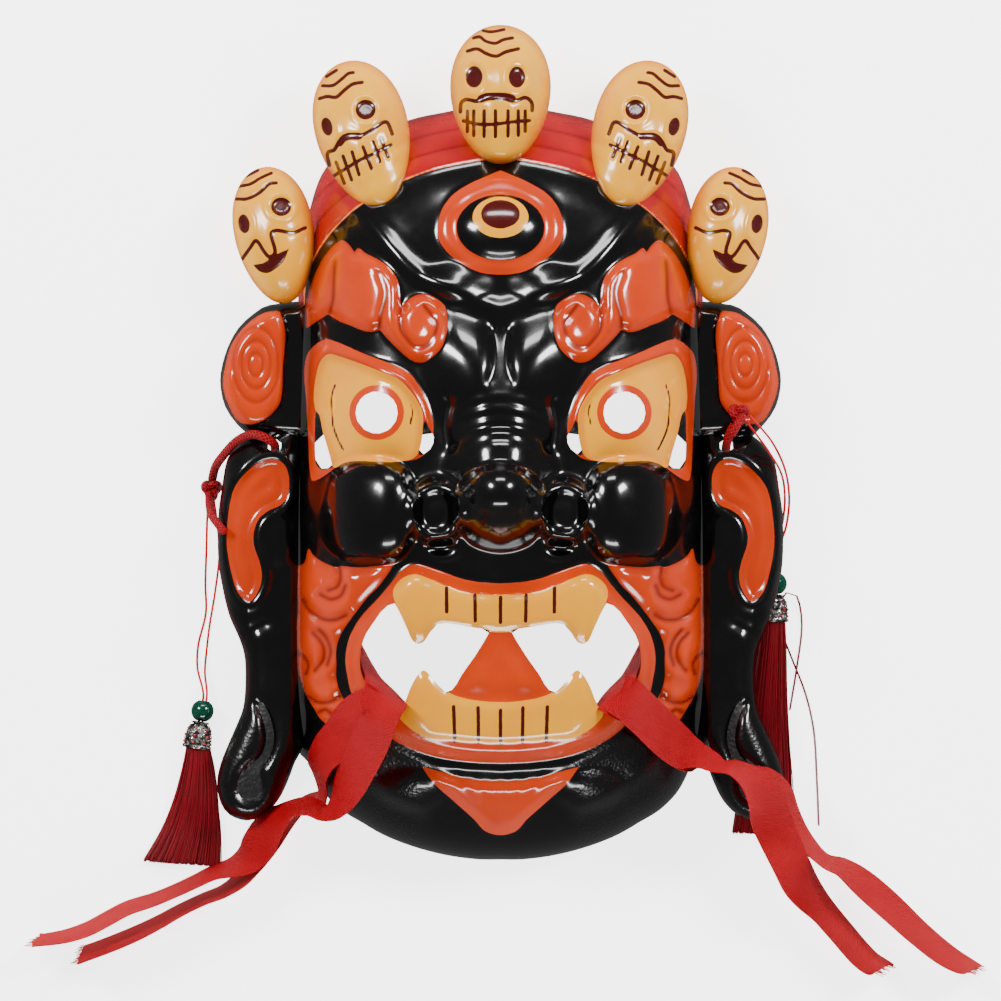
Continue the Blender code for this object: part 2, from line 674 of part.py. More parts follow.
def turned(name, profile, start, direction, material, sides=12):
    """A closed profile of (along, radius) points turned about an axis through start."""
    axis = np.array(direction, float) / np.linalg.norm(direction)
    side = np.cross(axis, (0, 0, 1))
    side /= np.linalg.norm(side)
    up = np.cross(side, axis)
    verts, faces = [], []
    for along, radius in profile:
        for k in range(sides):
            angle = math.tau * k / sides
            verts.append(np.array(start) + along * axis + radius * math.cos(angle) * side
                         + radius * math.sin(angle) * up)
    rows = len(profile)
    for j in range(rows):
        for k in range(sides):
            a, b = j * sides + k, j * sides + (k + 1) % sides
            c, d = (j + 1) % rows * sides + (k + 1) % sides, (j + 1) % rows * sides + k
            faces.append((a, b, c, d))
    return add_object(name, verts, faces, material)


def loft(name, rings, material):
    """A closed body through rings of as many points each, with its two ends filled."""
    sides = len(rings[0])
    verts = [p for ring in rings for p in ring]
    faces = []
    for j in range(len(rings) - 1):
        for k in range(sides):
            a, b = j * sides + k, j * sides + (k + 1) % sides
            faces.append((a, b, b + sides, a + sides))
    last = sides * (len(rings) - 1)
    faces += [tuple(range(sides - 1, -1, -1)), tuple(range(last, last + sides))]
    return add_object(name, verts, faces, material)


def ball(name, middle, radii, material, sides=10, rows=6):
    """A closed ellipsoid, cut flat by a little at its two ends."""
    rings = []
    for j in range(rows):
        angle = math.pi * (0.06 + 0.88 * j / (rows - 1))
        rings.append([np.array(middle) + np.array((radii[0] * math.sin(angle) * math.cos(t),
                                                   radii[1] * math.cos(angle),
                                                   radii[2] * math.sin(angle) * math.sin(t)))
                      for t in np.arange(sides) * math.tau / sides])
    return loft(name, rings, material)


def make_tassel_set(side, materials):
    """Thread, bead, cap and tassel of one ear, lying on what the mask lies on."""
    sign = -1 if side == "left" else 1
    lay = TASSEL_LAY[side]
    knot = np.array(lay["knot"]) * (SCALE[0], SCALE[1], 1)
    radius = KNOT_DIAMETER / 2
    ball(f"knot_{side}", knot, (radius, radius * 1.15, radius), materials["cord"])
    shift = np.array((MASK_WIDTH - DRAWN_WIDTH) / 2 * sign)
    bead = np.array((lay["bead"][0] + shift, lay["bead"][1] * SCALE[1], BEAD_DIAMETER / 2 + GAP))
    heading = np.array((*lay["heading"], 0.0))
    heading /= np.linalg.norm(heading)
    bore, outer = BEAD_BORE / 2, BEAD_DIAMETER / 2
    profile = [(outer * math.sin(t), outer * math.cos(t)) for t in np.linspace(-1.1, 1.1, 7)]
    profile += [(outer * math.sin(1.1), bore), (-outer * math.sin(1.1), bore)]
    turned(f"bead_{side}", profile, bead, heading, materials["bead"])
    cap_start = bead + heading * (outer * math.sin(1.1) + GAP)
    cap_start[2] = CAP_DIAMETER / 2 + GAP
    wide = CAP_DIAMETER / 2
    outside = [(0, bore + CAP_WALL + 0.4), (0.12 * CAP_LENGTH, 0.62 * wide), (0.4 * CAP_LENGTH, 0.86 * wide),
               (0.75 * CAP_LENGTH, 0.94 * wide), (CAP_LENGTH, wide)]
    inside = [(CAP_LENGTH, wide - CAP_WALL), (0.7 * CAP_LENGTH, 0.94 * wide - CAP_WALL),
              (0.4 * CAP_LENGTH, 0.86 * wide - CAP_WALL), (CAP_WALL + 0.12 * CAP_LENGTH, 0.5 * wide),
              (CAP_WALL, bore), (0, bore)]
    turned(f"cap_{side}", outside + inside, cap_start, heading, materials["silver"])
    make_tassel(side, cap_start, heading, materials["tassel"])
    make_threads(side, lay, knot, bead, heading, materials["cord"])


def make_tassel(side, cap_start, heading, material):
    """A skirt of silk that starts round inside its cap and spreads flat on the floor."""
    across = np.array((-heading[1], heading[0], 0.0))
    wide = CAP_DIAMETER / 2
    neck = wide * 0.86 - CAP_WALL - 2 * GAP
    start = 0.5 * CAP_LENGTH
    spread, length = TASSEL_SPREAD[side] / 2, TASSEL_LENGTH[side]
    stations = [(start, neck * 0.7, neck * 0.7), (start + 1.5, neck, neck), (CAP_LENGTH + 1.0, neck, neck)]
    for share in (0.15, 0.3, 0.45, 0.6, 0.75, 0.9, 1.0):
        tall = neck + (TASSEL_THICKNESS / 2 - neck) * share
        stations.append((CAP_LENGTH + share * length, neck + (spread - neck) * share**0.9, tall))
    rings = []
    for along, half, tall in stations:
        middle = cap_start + heading * along
        if along > CAP_LENGTH + 1.5:
            share = (along - CAP_LENGTH) / length
            middle[2] = GAP + tall + (cap_start[2] - GAP - tall) * (1 - share)**3
        rings.append([middle + across * half * math.cos(t) + np.array((0, 0, tall * math.sin(t)))
                      for t in np.arange(12) * math.tau / 12])
    loft(f"tassel_{side}", rings, material)


def make_threads(side, lay, knot, bead, heading, material):
    """The two strands from the knot, through the bead, into the cap."""
    across = np.array((-heading[1], heading[0], 0.0))
    for number, strand in enumerate(lay["strands"], 1):
        sign = 1 if (number == 1) == (side == "right") else -1
        off = across * sign * 0.8
        points = [np.array(strand[0]) * (*SCALE, 1)]
        shift = bead - np.array((*lay["bead"], bead[2]))
        points += [np.array(p) + np.array((shift[0], p[1] * (SCALE[1] - 1), 0)) for p in strand[1:]]
        points += [bead - heading * 7.5 + off, bead + off, bead + heading * 6.2 + off]
        tube(f"thread_{side}_{number}", points, THREAD_DIAMETER, material)


# How each tassel lies: places x, y, z of its knot, strands and bead, and which way it points
TASSEL_LAY = {
    "left": {
        "knot": (-127.6, -20.5, 4.0),
        "bead": (-131.6, -118.2),
        "heading": (-0.16, -1.0),
        "strands": [
            [(-128.6, -25.3, 4.0), (-129.5, -32.0, 2.0), (-129.9, -46.0, 0.9), (-130.4, -62.0, 0.9),
             (-130.2, -75.0, 0.9), (-133.5, -89.0, 0.9), (-133.9, -99.0, 1.6)],
            [(-126.6, -25.3, 4.0), (-125.6, -32.0, 2.0), (-124.2, -48.0, 0.9), (-126.0, -65.0, 0.9),
             (-128.6, -81.0, 0.9), (-130.0, -93.0, 0.9), (-130.6, -101.0, 1.6)],
        ],
    },
    "right": {
        "knot": (104.8, 12.8, 38.4),
        "bead": (121.5, -62.0),
        "heading": (-0.05, -1.0),
        "strands": [
            [(109.4, 12.0, 38.0), (114.2, 7.0, 36.0), (120.5, -1.0, 25.0), (125.6, -12.0, 13.0),
             (127.5, -24.0, 4.0), (126.4, -36.0, 0.9), (123.3, -46.0, 1.6)],
            [(108.4, 9.0, 37.6), (112.6, 3.6, 34.6), (118.2, -4.0, 29.5), (124.0, -14.0, 15.0),
             (125.6, -25.0, 4.0), (124.4, -36.0, 0.9), (121.6, -46.0, 1.6)],
        ],
    },
}

# Route of each ear cord: from inside the ear, up through its hole and out to its knot
CORD_ROUTES = {
    "left": [
        (-99.5, -24.0, 2.4), (-99.5, -14.0, 2.5), (-99.5, -5.5, 6.0), (-99.5, -1.6, 14.0),
        (-99.5, -1.0, 23.0), (-100.2, 0.2, 30.5), (-104.0, 2.6, 32.5), (-109.5, 3.8, 28.5),
        (-116.0, 1.0, 22.5), (-121.5, -4.6, 16.0), (-125.8, -10.5, 9.0), (-127.3, -16.0, 4.8),
    ],
    "right": [
        (99.5, -24.0, 2.4), (99.5, -14.0, 2.5), (99.5, -5.5, 6.0), (99.5, -1.6, 14.0),
        (99.5, -1.0, 24.0), (99.6, 0.0, 32.0), (100.6, 3.6, 37.6), (102.8, 8.0, 38.6),
    ],
}

# Route of each ribbon: places x, y and height over the mask of its tails from the lip on, and
# places x, y, z of the loop inside the mouth
RIBBON_ROUTES = {
    "left": {
        "tail_1": [
            (-56.0, -107.6, 1.2), (-63.0, -116.5, 1.2), (-71.0, -127.5, 1.2), (-78.5, -138.0, 1.2),
            (-85.0, -148.5, 1.4), (-92.0, -159.0, 1.4), (-102.0, -170.0, 1.0), (-113.0, -183.0, 0.5),
            (-131.0, -197.5, 0.5), (-149.2, -204.5, 0.5), (-184.8, -214.3, 0.5), (-211.0, -218.2, 0.5),
        ],
        "inside": [
            (-51.8, -103.2, 71.0), (-50.6, -102.0, 62.0), (-50.2, -101.6, 46.0), (-49.8, -101.2, 28.0),
            (-47.5, -99.0, 12.0), (-42.0, -93.6, 3.4), (-35.0, -87.0, 1.2), (-29.0, -81.0, 1.4),
            (-27.4, -79.4, 3.2), (-29.4, -81.4, 5.2), (-35.0, -87.0, 5.8), (-39.8, -91.8, 8.6),
            (-44.4, -96.4, 19.0), (-46.6, -98.6, 38.0), (-47.4, -99.4, 56.0), (-48.0, -100.0, 70.0),
        ],
        "tail_2": [
            (-51.6, -105.8, 1.2), (-56.2, -114.5, 1.2), (-61.5, -127.5, 1.0), (-65.6, -141.0, 1.0),
            (-72.0, -154.5, 1.0), (-82.0, -166.5, 0.5), (-96.0, -178.0, 0.5), (-117.0, -193.5, 0.5),
            (-139.9, -206.5, 0.5), (-163.2, -217.5, 0.5), (-192.3, -228.0, 0.5),
        ],
    },
    "right": {
        "tail_1": [
            (55.4, -107.4, 1.2), (61.8, -115.4, 1.2), (70.4, -125.4, 1.2), (80.5, -135.6, 1.2),
            (90.4, -142.8, 1.2), (101.0, -148.6, 4.0), (112.2, -157.5, 9.0), (121.0, -170.0, 9.0),
            (129.8, -186.0, 3.0), (138.6, -201.0, 0.5), (151.8, -216.5, 0.5), (167.2, -230.0, 0.5),
            (183.0, -235.0, 0.5),
        ],
        "inside": [
            (51.8, -103.2, 71.0), (50.6, -102.0, 62.0), (50.2, -101.6, 46.0), (49.8, -101.2, 28.0),
            (47.5, -99.0, 12.0), (42.0, -93.6, 3.4), (35.0, -87.0, 1.2), (29.0, -81.0, 1.4),
            (27.4, -79.4, 3.2), (29.4, -81.4, 5.2), (35.0, -87.0, 5.8), (39.8, -91.8, 8.6),
            (44.4, -96.4, 19.0), (46.6, -98.6, 38.0), (47.4, -99.4, 56.0), (48.0, -100.0, 70.0),
        ],
        "tail_2": [
            (53.0, -105.0, 1.2), (60.4, -113.6, 1.2), (69.0, -123.6, 1.2), (79.6, -134.4, 1.2),
            (89.8, -141.8, 1.2), (101.0, -146.6, 1.6), (115.0, -154.5, 3.0), (127.0, -165.5, 3.0),
            (139.5, -178.5, 1.0), (154.0, -190.0, 0.5), (171.6, -203.3, 0.5), (189.2, -218.7, 0.5),
            (206.8, -230.0, 0.5), (217.0, -234.0, 0.5),
        ],
    },
}


def main():
    clear_scene()
    cord = make_material("braided red cord", CORD_RED, 0.6)
    materials = {
        "cord": cord,
        "bead": make_material("dark green bead", BEAD_GREEN, 0.15),
        "silver": make_material("silver cap", SILVER, 0.35, 1.0),
        "tassel": make_material("red silk", TASSEL_RED, 0.5),
    }
    make_mask(make_material("black gloss plastic", BLACK, 0.12))
    for side in ("left", "right"):
        route = [np.array(p) * (*SCALE, 1) for p in CORD_ROUTES[side]]
        tube(f"ear_cord_{side}", route, CORD_DIAMETER, cord)
        make_tassel_set(side, materials)
    satin = make_material("red ribbon", RIBBON_RED, 0.45)
    for side, route in RIBBON_ROUTES.items():
        ribbon(f"ribbon_{side}", route, satin)


main()
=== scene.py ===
"""Looks of a moulded dance mask with ribbon ties and ear tassels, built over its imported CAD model."""
import math

import bmesh
import bpy
import numpy as np
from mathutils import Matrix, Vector


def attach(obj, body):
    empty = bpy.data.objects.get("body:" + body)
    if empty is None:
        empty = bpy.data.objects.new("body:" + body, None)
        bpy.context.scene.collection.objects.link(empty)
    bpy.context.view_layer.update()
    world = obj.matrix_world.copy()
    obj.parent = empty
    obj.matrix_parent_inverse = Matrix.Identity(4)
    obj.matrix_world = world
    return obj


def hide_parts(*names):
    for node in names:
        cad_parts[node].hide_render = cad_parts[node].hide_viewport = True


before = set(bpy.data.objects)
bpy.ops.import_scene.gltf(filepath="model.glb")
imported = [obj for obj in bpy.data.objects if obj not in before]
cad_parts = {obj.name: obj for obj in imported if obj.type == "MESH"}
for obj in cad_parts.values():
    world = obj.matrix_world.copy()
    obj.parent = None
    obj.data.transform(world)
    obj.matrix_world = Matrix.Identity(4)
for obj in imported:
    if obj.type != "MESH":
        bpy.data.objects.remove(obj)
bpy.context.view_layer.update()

MM = 0.001
WALL = 2.5
# Mesh steps: the fine front of the head and of an ear, and their plainer backs
HEAD_STEP = 0.8
EAR_STEP = 0.75
BACK_STEP = 3.2
EAR_BACK_STEP = 2.4
HEAD_BOX = ((-97, -190), (97, 155))
HEAD_DOME = 48
FOLD_PITCH = 8.0
EAR_RIM_LIFT = 14.0
DISC_RINGS = (5.0, 10.5, 16.5)
PUPIL_MIDDLE = (54.2, 13.2)
PUPIL_RADIUS = 9.2
THIRD_EYE_BLACK = (0, 94.2, 19.2, 14.4)
THIRD_EYE_WHITE = (0, 98.6, 12.2, 9.1)
THIRD_EYE_PUPIL = (0, 99.9, 8.5, 6.3)
EAR_HOLE_MIDDLE = (99.5, -1.0)
EAR_HOLE_RADIUS = 3.2

# Outlines, right half, millimetres
HEAD = [
    (0, 149), (13, 148.5), (24, 146.5), (40, 143), (59.5, 134.5), (71.5, 127.5), (79, 119),
    (84, 104.5), (87, 89.5), (89, 71.5), (90, 49.5), (91, 19), (92, -16.5), (92.5, -51.5), (93, -86.5),
    (92, -113), (90, -130), (88.5, -137.5), (85, -141), (82, -147.5), (78, -154.5), (70.5, -162),
    (61.5, -167.5), (52, -173), (39.5, -178), (24.5, -182), (9.5, -184), (0, -184),
]
FOREHEAD = [
    (0, 124.5), (15.5, 122.5), (31, 119), (44, 114), (53.5, 108.5), (63.5, 102.5), (74, 92.5),
    (81.5, 81.5), (85.5, 69.5), (87, 54), (93, 40), (100, 40), (100, 40), (100, -200), (100, -200),
    (0, -200),
]
EAR = [
    (88, 11), (102, 5.5), (111, 3.5), (116.5, -1.5), (120.5, -7), (123, -20.5), (124.5, -32),
    (124.5, -51.5), (122.5, -64.5), (119.5, -76.5), (115.5, -85.5), (113, -93.5), (112.5, -104.5),
    (113.5, -116.5), (116.5, -124.5), (120, -132.5), (123.5, -141.5), (125, -149.5), (123.5, -158.5),
    (119.5, -164), (111.5, -166.5), (104.5, -164), (98, -157.5), (93.5, -148.5), (90.5, -140.5),
    (88, -136), (85.5, -126.5), (84.5, -69), (85.5, -16.5),
]
DISC_PLATE = [
    (84, 60), (102, 61), (108.5, 57.5), (115.5, 51), (120.5, 42), (123.5, 31), (123.5, 24),
    (121.5, 16), (116.5, 8.5), (111, 4), (100, 2), (84, 4),
]
DISC = [
    (96.5, 58.5), (98.5, 59), (105.5, 57.5), (113, 52), (119, 44), (122, 34), (123, 25), (120.5, 16.5),
    (116.5, 9.5), (111.5, 7.5), (105.5, 8.5), (99.5, 13), (96, 18.5), (95, 34), (94, 48.5),
]
HELIX = [
    (93.5, -13), (93, -18), (94, -24), (97, -27.5), (101.5, -29.5), (106, -33), (108.5, -39),
    (108.5, -45), (106, -52.5), (105, -59), (106.5, -65), (110.5, -70), (115.5, -66), (118.5, -57),
    (120.5, -45), (120, -33), (117.5, -20.5), (112, -13), (106, -8.5), (99.5, -7), (95.5, -9),
]
EAR_SLIT = [(106, -114.5), (102.5, -123), (101.5, -131.5), (104, -138.5), (108, -142.5)]
EAR_CRESCENT = [(114, -85), (109, -82), (103.8, -79.2)]
BROW = [
    (85.5, 50.5), (86, 56), (85.5, 62.5), (83, 71), (79, 79.5), (75.5, 84.5), (72.5, 87.5), (69.5, 89),
    (67, 87.5), (65, 85), (64, 83.5), (64, 83.5), (62.5, 85.5), (59, 83), (54, 80.5), (49.5, 77.5),
    (46.5, 74), (44.5, 69.5), (44, 64), (43.5, 59.5), (43.5, 59.5), (40.5, 62.5), (37, 64.5),
    (32.5, 65), (28, 63), (24.5, 60), (23, 54.5), (23.5, 48.5), (25.5, 42), (29.5, 37.5), (34, 35),
    (39, 36), (44.5, 40.5), (49.5, 45.5), (52, 48.5), (53, 49.5), (53, 49.5), (56, 48.5), (60, 49),
    (66, 51.5), (71, 53.5), (75.5, 56.5), (75.5, 56.5), (79, 54.5), (83, 52),
]
SPIRAL = [
    (33.5, 60), (31, 57), (28, 53), (28, 49.5), (30, 44.5), (33.5, 42), (37.5, 42), (41, 45.5),
    (43.5, 49.5), (44, 53), (44, 56.5), (43.5, 59.5),
]
BROW_SPLIT = [(53.5, 74.5), (52, 71.5), (50.5, 67), (51, 61.5), (52.5, 56.5), (53, 50.5)]
BROW_FOLD = [(72.5, 79.5), (73, 71), (73.5, 63), (75, 57)]
LID = [
    (83, -16.5), (84.5, 0.5), (85.5, 18.5), (86.5, 31.5), (85, 39), (81, 43.5), (76.5, 45.5),
    (70, 43.5), (61, 39.5), (52, 36), (45.5, 33.5), (39.5, 30), (35.5, 24.5), (32, 17.5), (29.5, 9.5),
    (29.5, 3), (31.5, -3), (36, -7), (42.5, -8), (52, -7.5), (64.5, -7.5), (69.5, -9), (74, -12),
    (79, -15.5),
]
EYEBALL = [
    (81.5, 15), (82, 22), (81, 29.5), (79, 36), (75.5, 39), (71, 38), (61, 34.5), (52, 31), (45, 28),
    (41, 24.5), (36.5, 18.5), (34, 13), (34, 5.5), (34.5, 0.5), (36.5, -5.5), (39.5, -7.5),
    (48.5, -8.5), (64, -8), (69, -9), (73, -11), (75.5, -4), (78.5, 5), (80, 12),
]
SLOT_INNER = [
    (33.5, 11.5), (33.5, 11.5), (31.5, 7), (29, 2.5), (29, 2.5), (30, -2), (35, -6), (35, -6),
    (36, -4.5), (34.5, 0.5), (34, 5.5),
]
SLOT_OUTER = [
    (81, 14), (79.5, 12), (78, 5), (75.5, -3.5), (73.5, -11), (73.5, -11), (79, -11.5), (81, -9),
    (81.5, -2), (81.5, 7),
]
EYE_LINE_OUTER = [(72.5, 25.5), (74, 20.5), (74, 14.5), (73.5, 8), (71.5, 2), (69, -3)]
EYE_LINE_INNER = [(39, 16.5), (38.5, 13), (39.5, 8)]
THIRD_EYE = [
    (0, 119.5), (0, 119.5), (7, 116.5), (13.5, 113.5), (20.5, 109), (25.5, 102.5), (27.5, 95),
    (27, 89), (23, 83), (16.5, 78), (9, 74.5), (0, 73.5),
]
CHEEK = [
    (84.5, -45.5), (84.5, -45.5), (82.5, -49), (78.5, -52), (72, -54.5), (70, -54), (63, -54.5),
    (54.5, -54), (49, -53), (45.5, -51.5), (45.5, -51.5), (48, -55.5), (53, -62.5), (57.5, -67),
    (62, -72.5), (66.5, -78.5), (70, -84), (72, -90.5), (72, -96.5), (72, -103.5), (70.5, -109),
    (67.5, -115), (66.5, -118.5), (70.5, -122.5), (74.5, -124), (78.5, -122), (82.5, -116),
    (85.5, -111), (88, -104), (90, -97.5), (90.5, -90.5), (92.5, -82), (92, -79), (89.5, -76.5),
    (89, -74), (89.5, -65), (90.5, -57.5), (89.5, -54), (86.5, -53),
]
LIPS = [
    (0, -61.5), (9, -61), (17, -59.5), (24, -57), (31, -54.5), (37.5, -53), (43.5, -56), (48, -61.5),
    (53.5, -68), (60.5, -75.5), (65, -82.5), (67, -88), (68, -95.5), (67, -103), (65, -111),
    (60, -118.5), (53.5, -125), (48, -129.5), (38.5, -134.5), (26.5, -138), (13, -140), (0, -140.5),
]
MOUTH = [
    (46.5, -70), (46.5, -70), (50.5, -72), (55, -78), (59, -84), (61, -90), (61.5, -95.5),
    (61, -100.5), (59, -105), (53.5, -111), (49, -115.5), (46.5, -117.5), (45, -117.5), (42.5, -115),
    (39.5, -107.5), (36.5, -102), (33.5, -99.5), (31, -101.5), (27, -106.5), (23.5, -109.5),
    (20.5, -107.5), (17, -101.5), (11, -93), (5, -83), (5, -82), (14, -80.5), (22.5, -79), (27, -79),
    (29.5, -81), (33.5, -87), (36, -88), (38.5, -86.5), (41, -81), (44.5, -73.5),
]
TEETH_UPPER = [
    (0, -66.5), (11.5, -66), (20, -64), (25.5, -62), (31, -59.5), (37.5, -57.5), (42.5, -59),
    (46, -62.5), (47, -66), (46, -70), (44.5, -74), (41, -82), (38, -88), (34.5, -88), (29.5, -82.5),
    (27, -80), (14, -81.5), (0, -83),
]
TEETH_LOWER = [
    (0, -113.5), (8.5, -113), (17, -111.5), (23, -109), (27, -105.5), (31, -100.5), (33.5, -98.5),
    (37, -101), (40, -108), (43, -115), (45, -118.5), (42.5, -122.5), (37.5, -126.5), (31.5, -129.5),
    (22.5, -130.5), (11, -131.5), (0, -132),
]
TONGUE = [(0, -83), (0, -83), (20, -109), (11, -111.5), (0, -112)]
GOATEE = [
    (0, -148), (11, -147.5), (22.5, -145), (34.5, -142), (34.5, -142), (29, -149.5), (22.5, -155.5),
    (11.5, -165.5), (7, -170.5), (0, -172.5),
]
CHEEK_CURLS = [
    [(70.5, -54.5), (70, -59.5), (71.5, -63), (75.5, -64.8)],
    [(68, -62.5), (70, -67), (74.5, -68.6), (79, -66.5)],
    [(87, -69), (84, -73.6), (78.5, -77.2), (72.5, -77.6), (67.5, -75.4)],
    [(82.5, -83.5), (79, -87), (77.4, -91), (78, -95.5), (81.5, -100)],
    [(79.5, -82), (76, -86.5), (74.5, -91.5), (76, -97.5)],
    [(90, -92), (86.5, -94), (84.5, -97.5), (85.5, -101.5)],
    [(85, -111.5), (80, -114), (74.5, -113.6), (70, -111)],
    [(80, -118.5), (77, -117), (74.5, -119)],
]
GOATEE_STRANDS = [
    [(3.5, -149.6), (3, -157.1), (0.6, -166)],
    [(9.8, -148.7), (8, -155.3), (4.6, -163.4)],
    [(19.4, -146.1), (15.8, -151.8), (11.4, -158)],
]
TOOTH_LINES = [
    [(23.6, -63.5), (23.5, -74)], [(11.2, -66.6), (11, -78)], [(0, -67.6), (0, -78.6)],
    [(20.5, -115.5), (20, -130.6)], [(9.8, -115.8), (9.6, -131)], [(0, -117), (0, -131)],
]

# Skulls, left side and middle
SKULLS = {
    "skull_middle": {"middle": (0, 153), "long": 31, "wide": 22, "turn": 0, "crest": 64, "lean": 0.30},
    "skull_inner": {"middle": (-60.5, 136), "long": 33, "wide": 20.5, "turn": 14, "crest": 55, "lean": 0.30},
    "skull_outer": {"middle": (-99.5, 91.5), "long": 30.5, "wide": 17.5, "turn": 10, "crest": 42, "lean": 0.15},
}
JAW_TAPER = 0.12
SKULL_CELLS = 92
SKULL_BACK_EVERY = 4
SKULL_BACK_SHARE = 0.90
SKULL_INK = {
    "skull_middle": [
        ([(-7.7, 181.3), (-4.8, 180.6), (-2.2, 180.8), (1.6, 181.7)], 0.45),
        ([(-11.9, 177.9), (-9.2, 178.4), (-6.6, 176.4), (-2.2, 175.3), (1.1, 176.9), (5.3, 177.8)], 0.5),
        ([(-14.5, 172), (-10.3, 172.9), (-6.2, 170.7), (-1.9, 169.5), (2.2, 171.4), (7.9, 172.9)], 0.55),
        ([(-17.6, 145.2), (-17.2, 149.2), (-15, 150.5), (-10.1, 149.6), (-6.2, 151.2), (-1.9, 151.8),
          (2.2, 151.4), (6.4, 149.7), (11, 151.2), (13.6, 149.2), (13.9, 145.6)], 0.6),
        ([(-8.5, 150.6), (-6.2, 151.4), (-1.9, 151.6), (2.2, 151.4), (5.0, 150.6)], 1.5),
        ([(-16.3, 141.2), (-9.2, 139.5), (-2.2, 139.5), (4.8, 140.4), (12.8, 141.2)], 0.5),
        ([(-14.5, 145.4), (-14.5, 136.5)], 0.5), ([(-11.7, 145.4), (-11.7, 134.7)], 0.5),
        ([(-7.2, 145.4), (-7.2, 134.2)], 0.5), ([(-2.2, 145.4), (-2.2, 134)], 0.5),
        ([(3.3, 145.4), (3.3, 134.2)], 0.5), ([(7.8, 145.4), (7.8, 134.7)], 0.5),
        ([(10.8, 145.4), (10.8, 136.5)], 0.5),
    ],
    "skull_inner": [
        ([(-76.6, 161.2), (-72.2, 163.9)], 0.5),
        ([(-78.3, 157.1), (-73.7, 157.1), (-70, 159.7), (-66.9, 162.4), (-64.7, 162.8)], 0.5),
        ([(-79.6, 151.4), (-76.1, 152.2), (-72.2, 151.8), (-69.1, 154.4), (-65.1, 157.5),
          (-60.7, 158.4)], 0.55),
        ([(-75.2, 122.1), (-76.1, 126.3), (-75.7, 127.8), (-73, 128.5), (-71.3, 131.4), (-69.1, 134.2),
          (-66.4, 135.2), (-61.2, 134.8), (-57, 136.8), (-50.2, 140.8), (-47.5, 135.5)], 0.6),
        ([(-70.5, 131.5), (-68.6, 133.6), (-66, 134.4), (-62, 134.4)], 1.3),
        ([(-73, 117.5), (-67.3, 120.6), (-62.3, 123.6), (-57.6, 125.8), (-48, 130.7)], 0.5),
        ([(-72.2, 123.2), (-68.6, 114)], 0.5), ([(-69.1, 125.8), (-65.3, 115.3)], 0.5),
        ([(-65.1, 127.6), (-62, 117.5)], 0.5), ([(-60.3, 129.8), (-56.5, 120.1)], 0.5),
        ([(-55.9, 132), (-52.8, 123.2)], 0.5), ([(-52.4, 133.5), (-49.3, 125.4)], 0.5),
    ],
    "skull_outer": [
        ([(-114.8, 113.1), (-110, 114), (-105.6, 116.6), (-100.8, 118.8)], 0.45),
        ([(-116.2, 107.4), (-111.5, 107.4), (-106, 110), (-101.6, 114), (-98.6, 114.4)], 0.5),
        ([(-112.2, 117.5), (-106.9, 120.1)], 0.45),
        ([(-113.5, 81.2), (-110, 85.8), (-107.4, 88.9), (-103.8, 84), (-101.6, 81.8), (-99, 83.6),
          (-100.8, 92), (-98.6, 93.3), (-91.1, 92.4), (-85.8, 94.6)], 0.55),
    ],
}
SKULL_EYES = {
    "skull_middle": [(-11.6, 160.4, 3.7, 4.8, 0), (7.2, 160.2, 3.6, 4.7, 0)],
    "skull_inner": [(-76.2, 138.9, 2.4, 4.1, 15), (-59.2, 146.2, 4.4, 4.4, 0)],
    "skull_outer": [(-112.8, 96.4, 2.5, 4.2, 10), (-96.4, 103.8, 4.4, 4.1, 0)],
}
SMILE = [
    (-108.9, 78.3), (-108.9, 78.3), (-103.8, 79.2), (-100.3, 81.8), (-92.8, 85.4), (-92.8, 85.4),
    (-95.5, 79.6), (-101.6, 74.8), (-105.6, 75.2),
]

# Cords, threads and ribbons
CORD_ROUTES = {
    "left": [
        (-99.5, -24.0, 2.4), (-99.5, -14.0, 2.5), (-99.5, -5.5, 6.0), (-99.5, -1.6, 14.0),
        (-99.5, -1.0, 23.0), (-100.2, 0.2, 30.5), (-104.0, 2.6, 32.5), (-109.5, 3.8, 28.5),
        (-116.0, 1.0, 22.5), (-121.5, -4.6, 16.0), (-125.8, -10.5, 9.0), (-127.3, -16.0, 4.8),
    ],
    "right": [
        (99.5, -24.0, 2.4), (99.5, -14.0, 2.5), (99.5, -5.5, 6.0), (99.5, -1.6, 14.0),
        (99.5, -1.0, 24.0), (99.6, 0.0, 32.0), (100.6, 3.6, 37.6), (102.8, 8.0, 38.6),
    ],
}
TASSEL_LAY = {
    "left": {
        "knot": (-127.6, -20.5, 4.0), "bead": (-131.6, -118.2), "heading": (-0.16, -1.0),
        "strands": [
            [(-128.6, -25.3, 4.0), (-129.5, -32.0, 2.0), (-129.9, -46.0, 0.9), (-130.4, -62.0, 0.9),
             (-130.2, -75.0, 0.9), (-133.5, -89.0, 0.9), (-133.9, -99.0, 1.6)],
            [(-126.6, -25.3, 4.0), (-125.6, -32.0, 2.0), (-124.2, -48.0, 0.9), (-126.0, -65.0, 0.9),
             (-128.6, -81.0, 0.9), (-130.0, -93.0, 0.9), (-130.6, -101.0, 1.6)],
        ],
    },
    "right": {
        "knot": (104.8, 12.8, 38.4), "bead": (121.5, -62.0), "heading": (-0.05, -1.0),
        "strands": [
            [(109.4, 12.0, 38.0), (114.2, 7.0, 36.0), (120.5, -1.0, 25.0), (125.6, -12.0, 13.0),
             (127.5, -24.0, 4.0), (126.4, -36.0, 0.9), (123.3, -46.0, 1.6)],
            [(108.4, 9.0, 37.6), (112.6, 3.6, 34.6), (118.2, -4.0, 29.5), (124.0, -14.0, 15.0),
             (125.6, -25.0, 4.0), (124.4, -36.0, 0.9), (121.6, -46.0, 1.6)],
        ],
    },
}
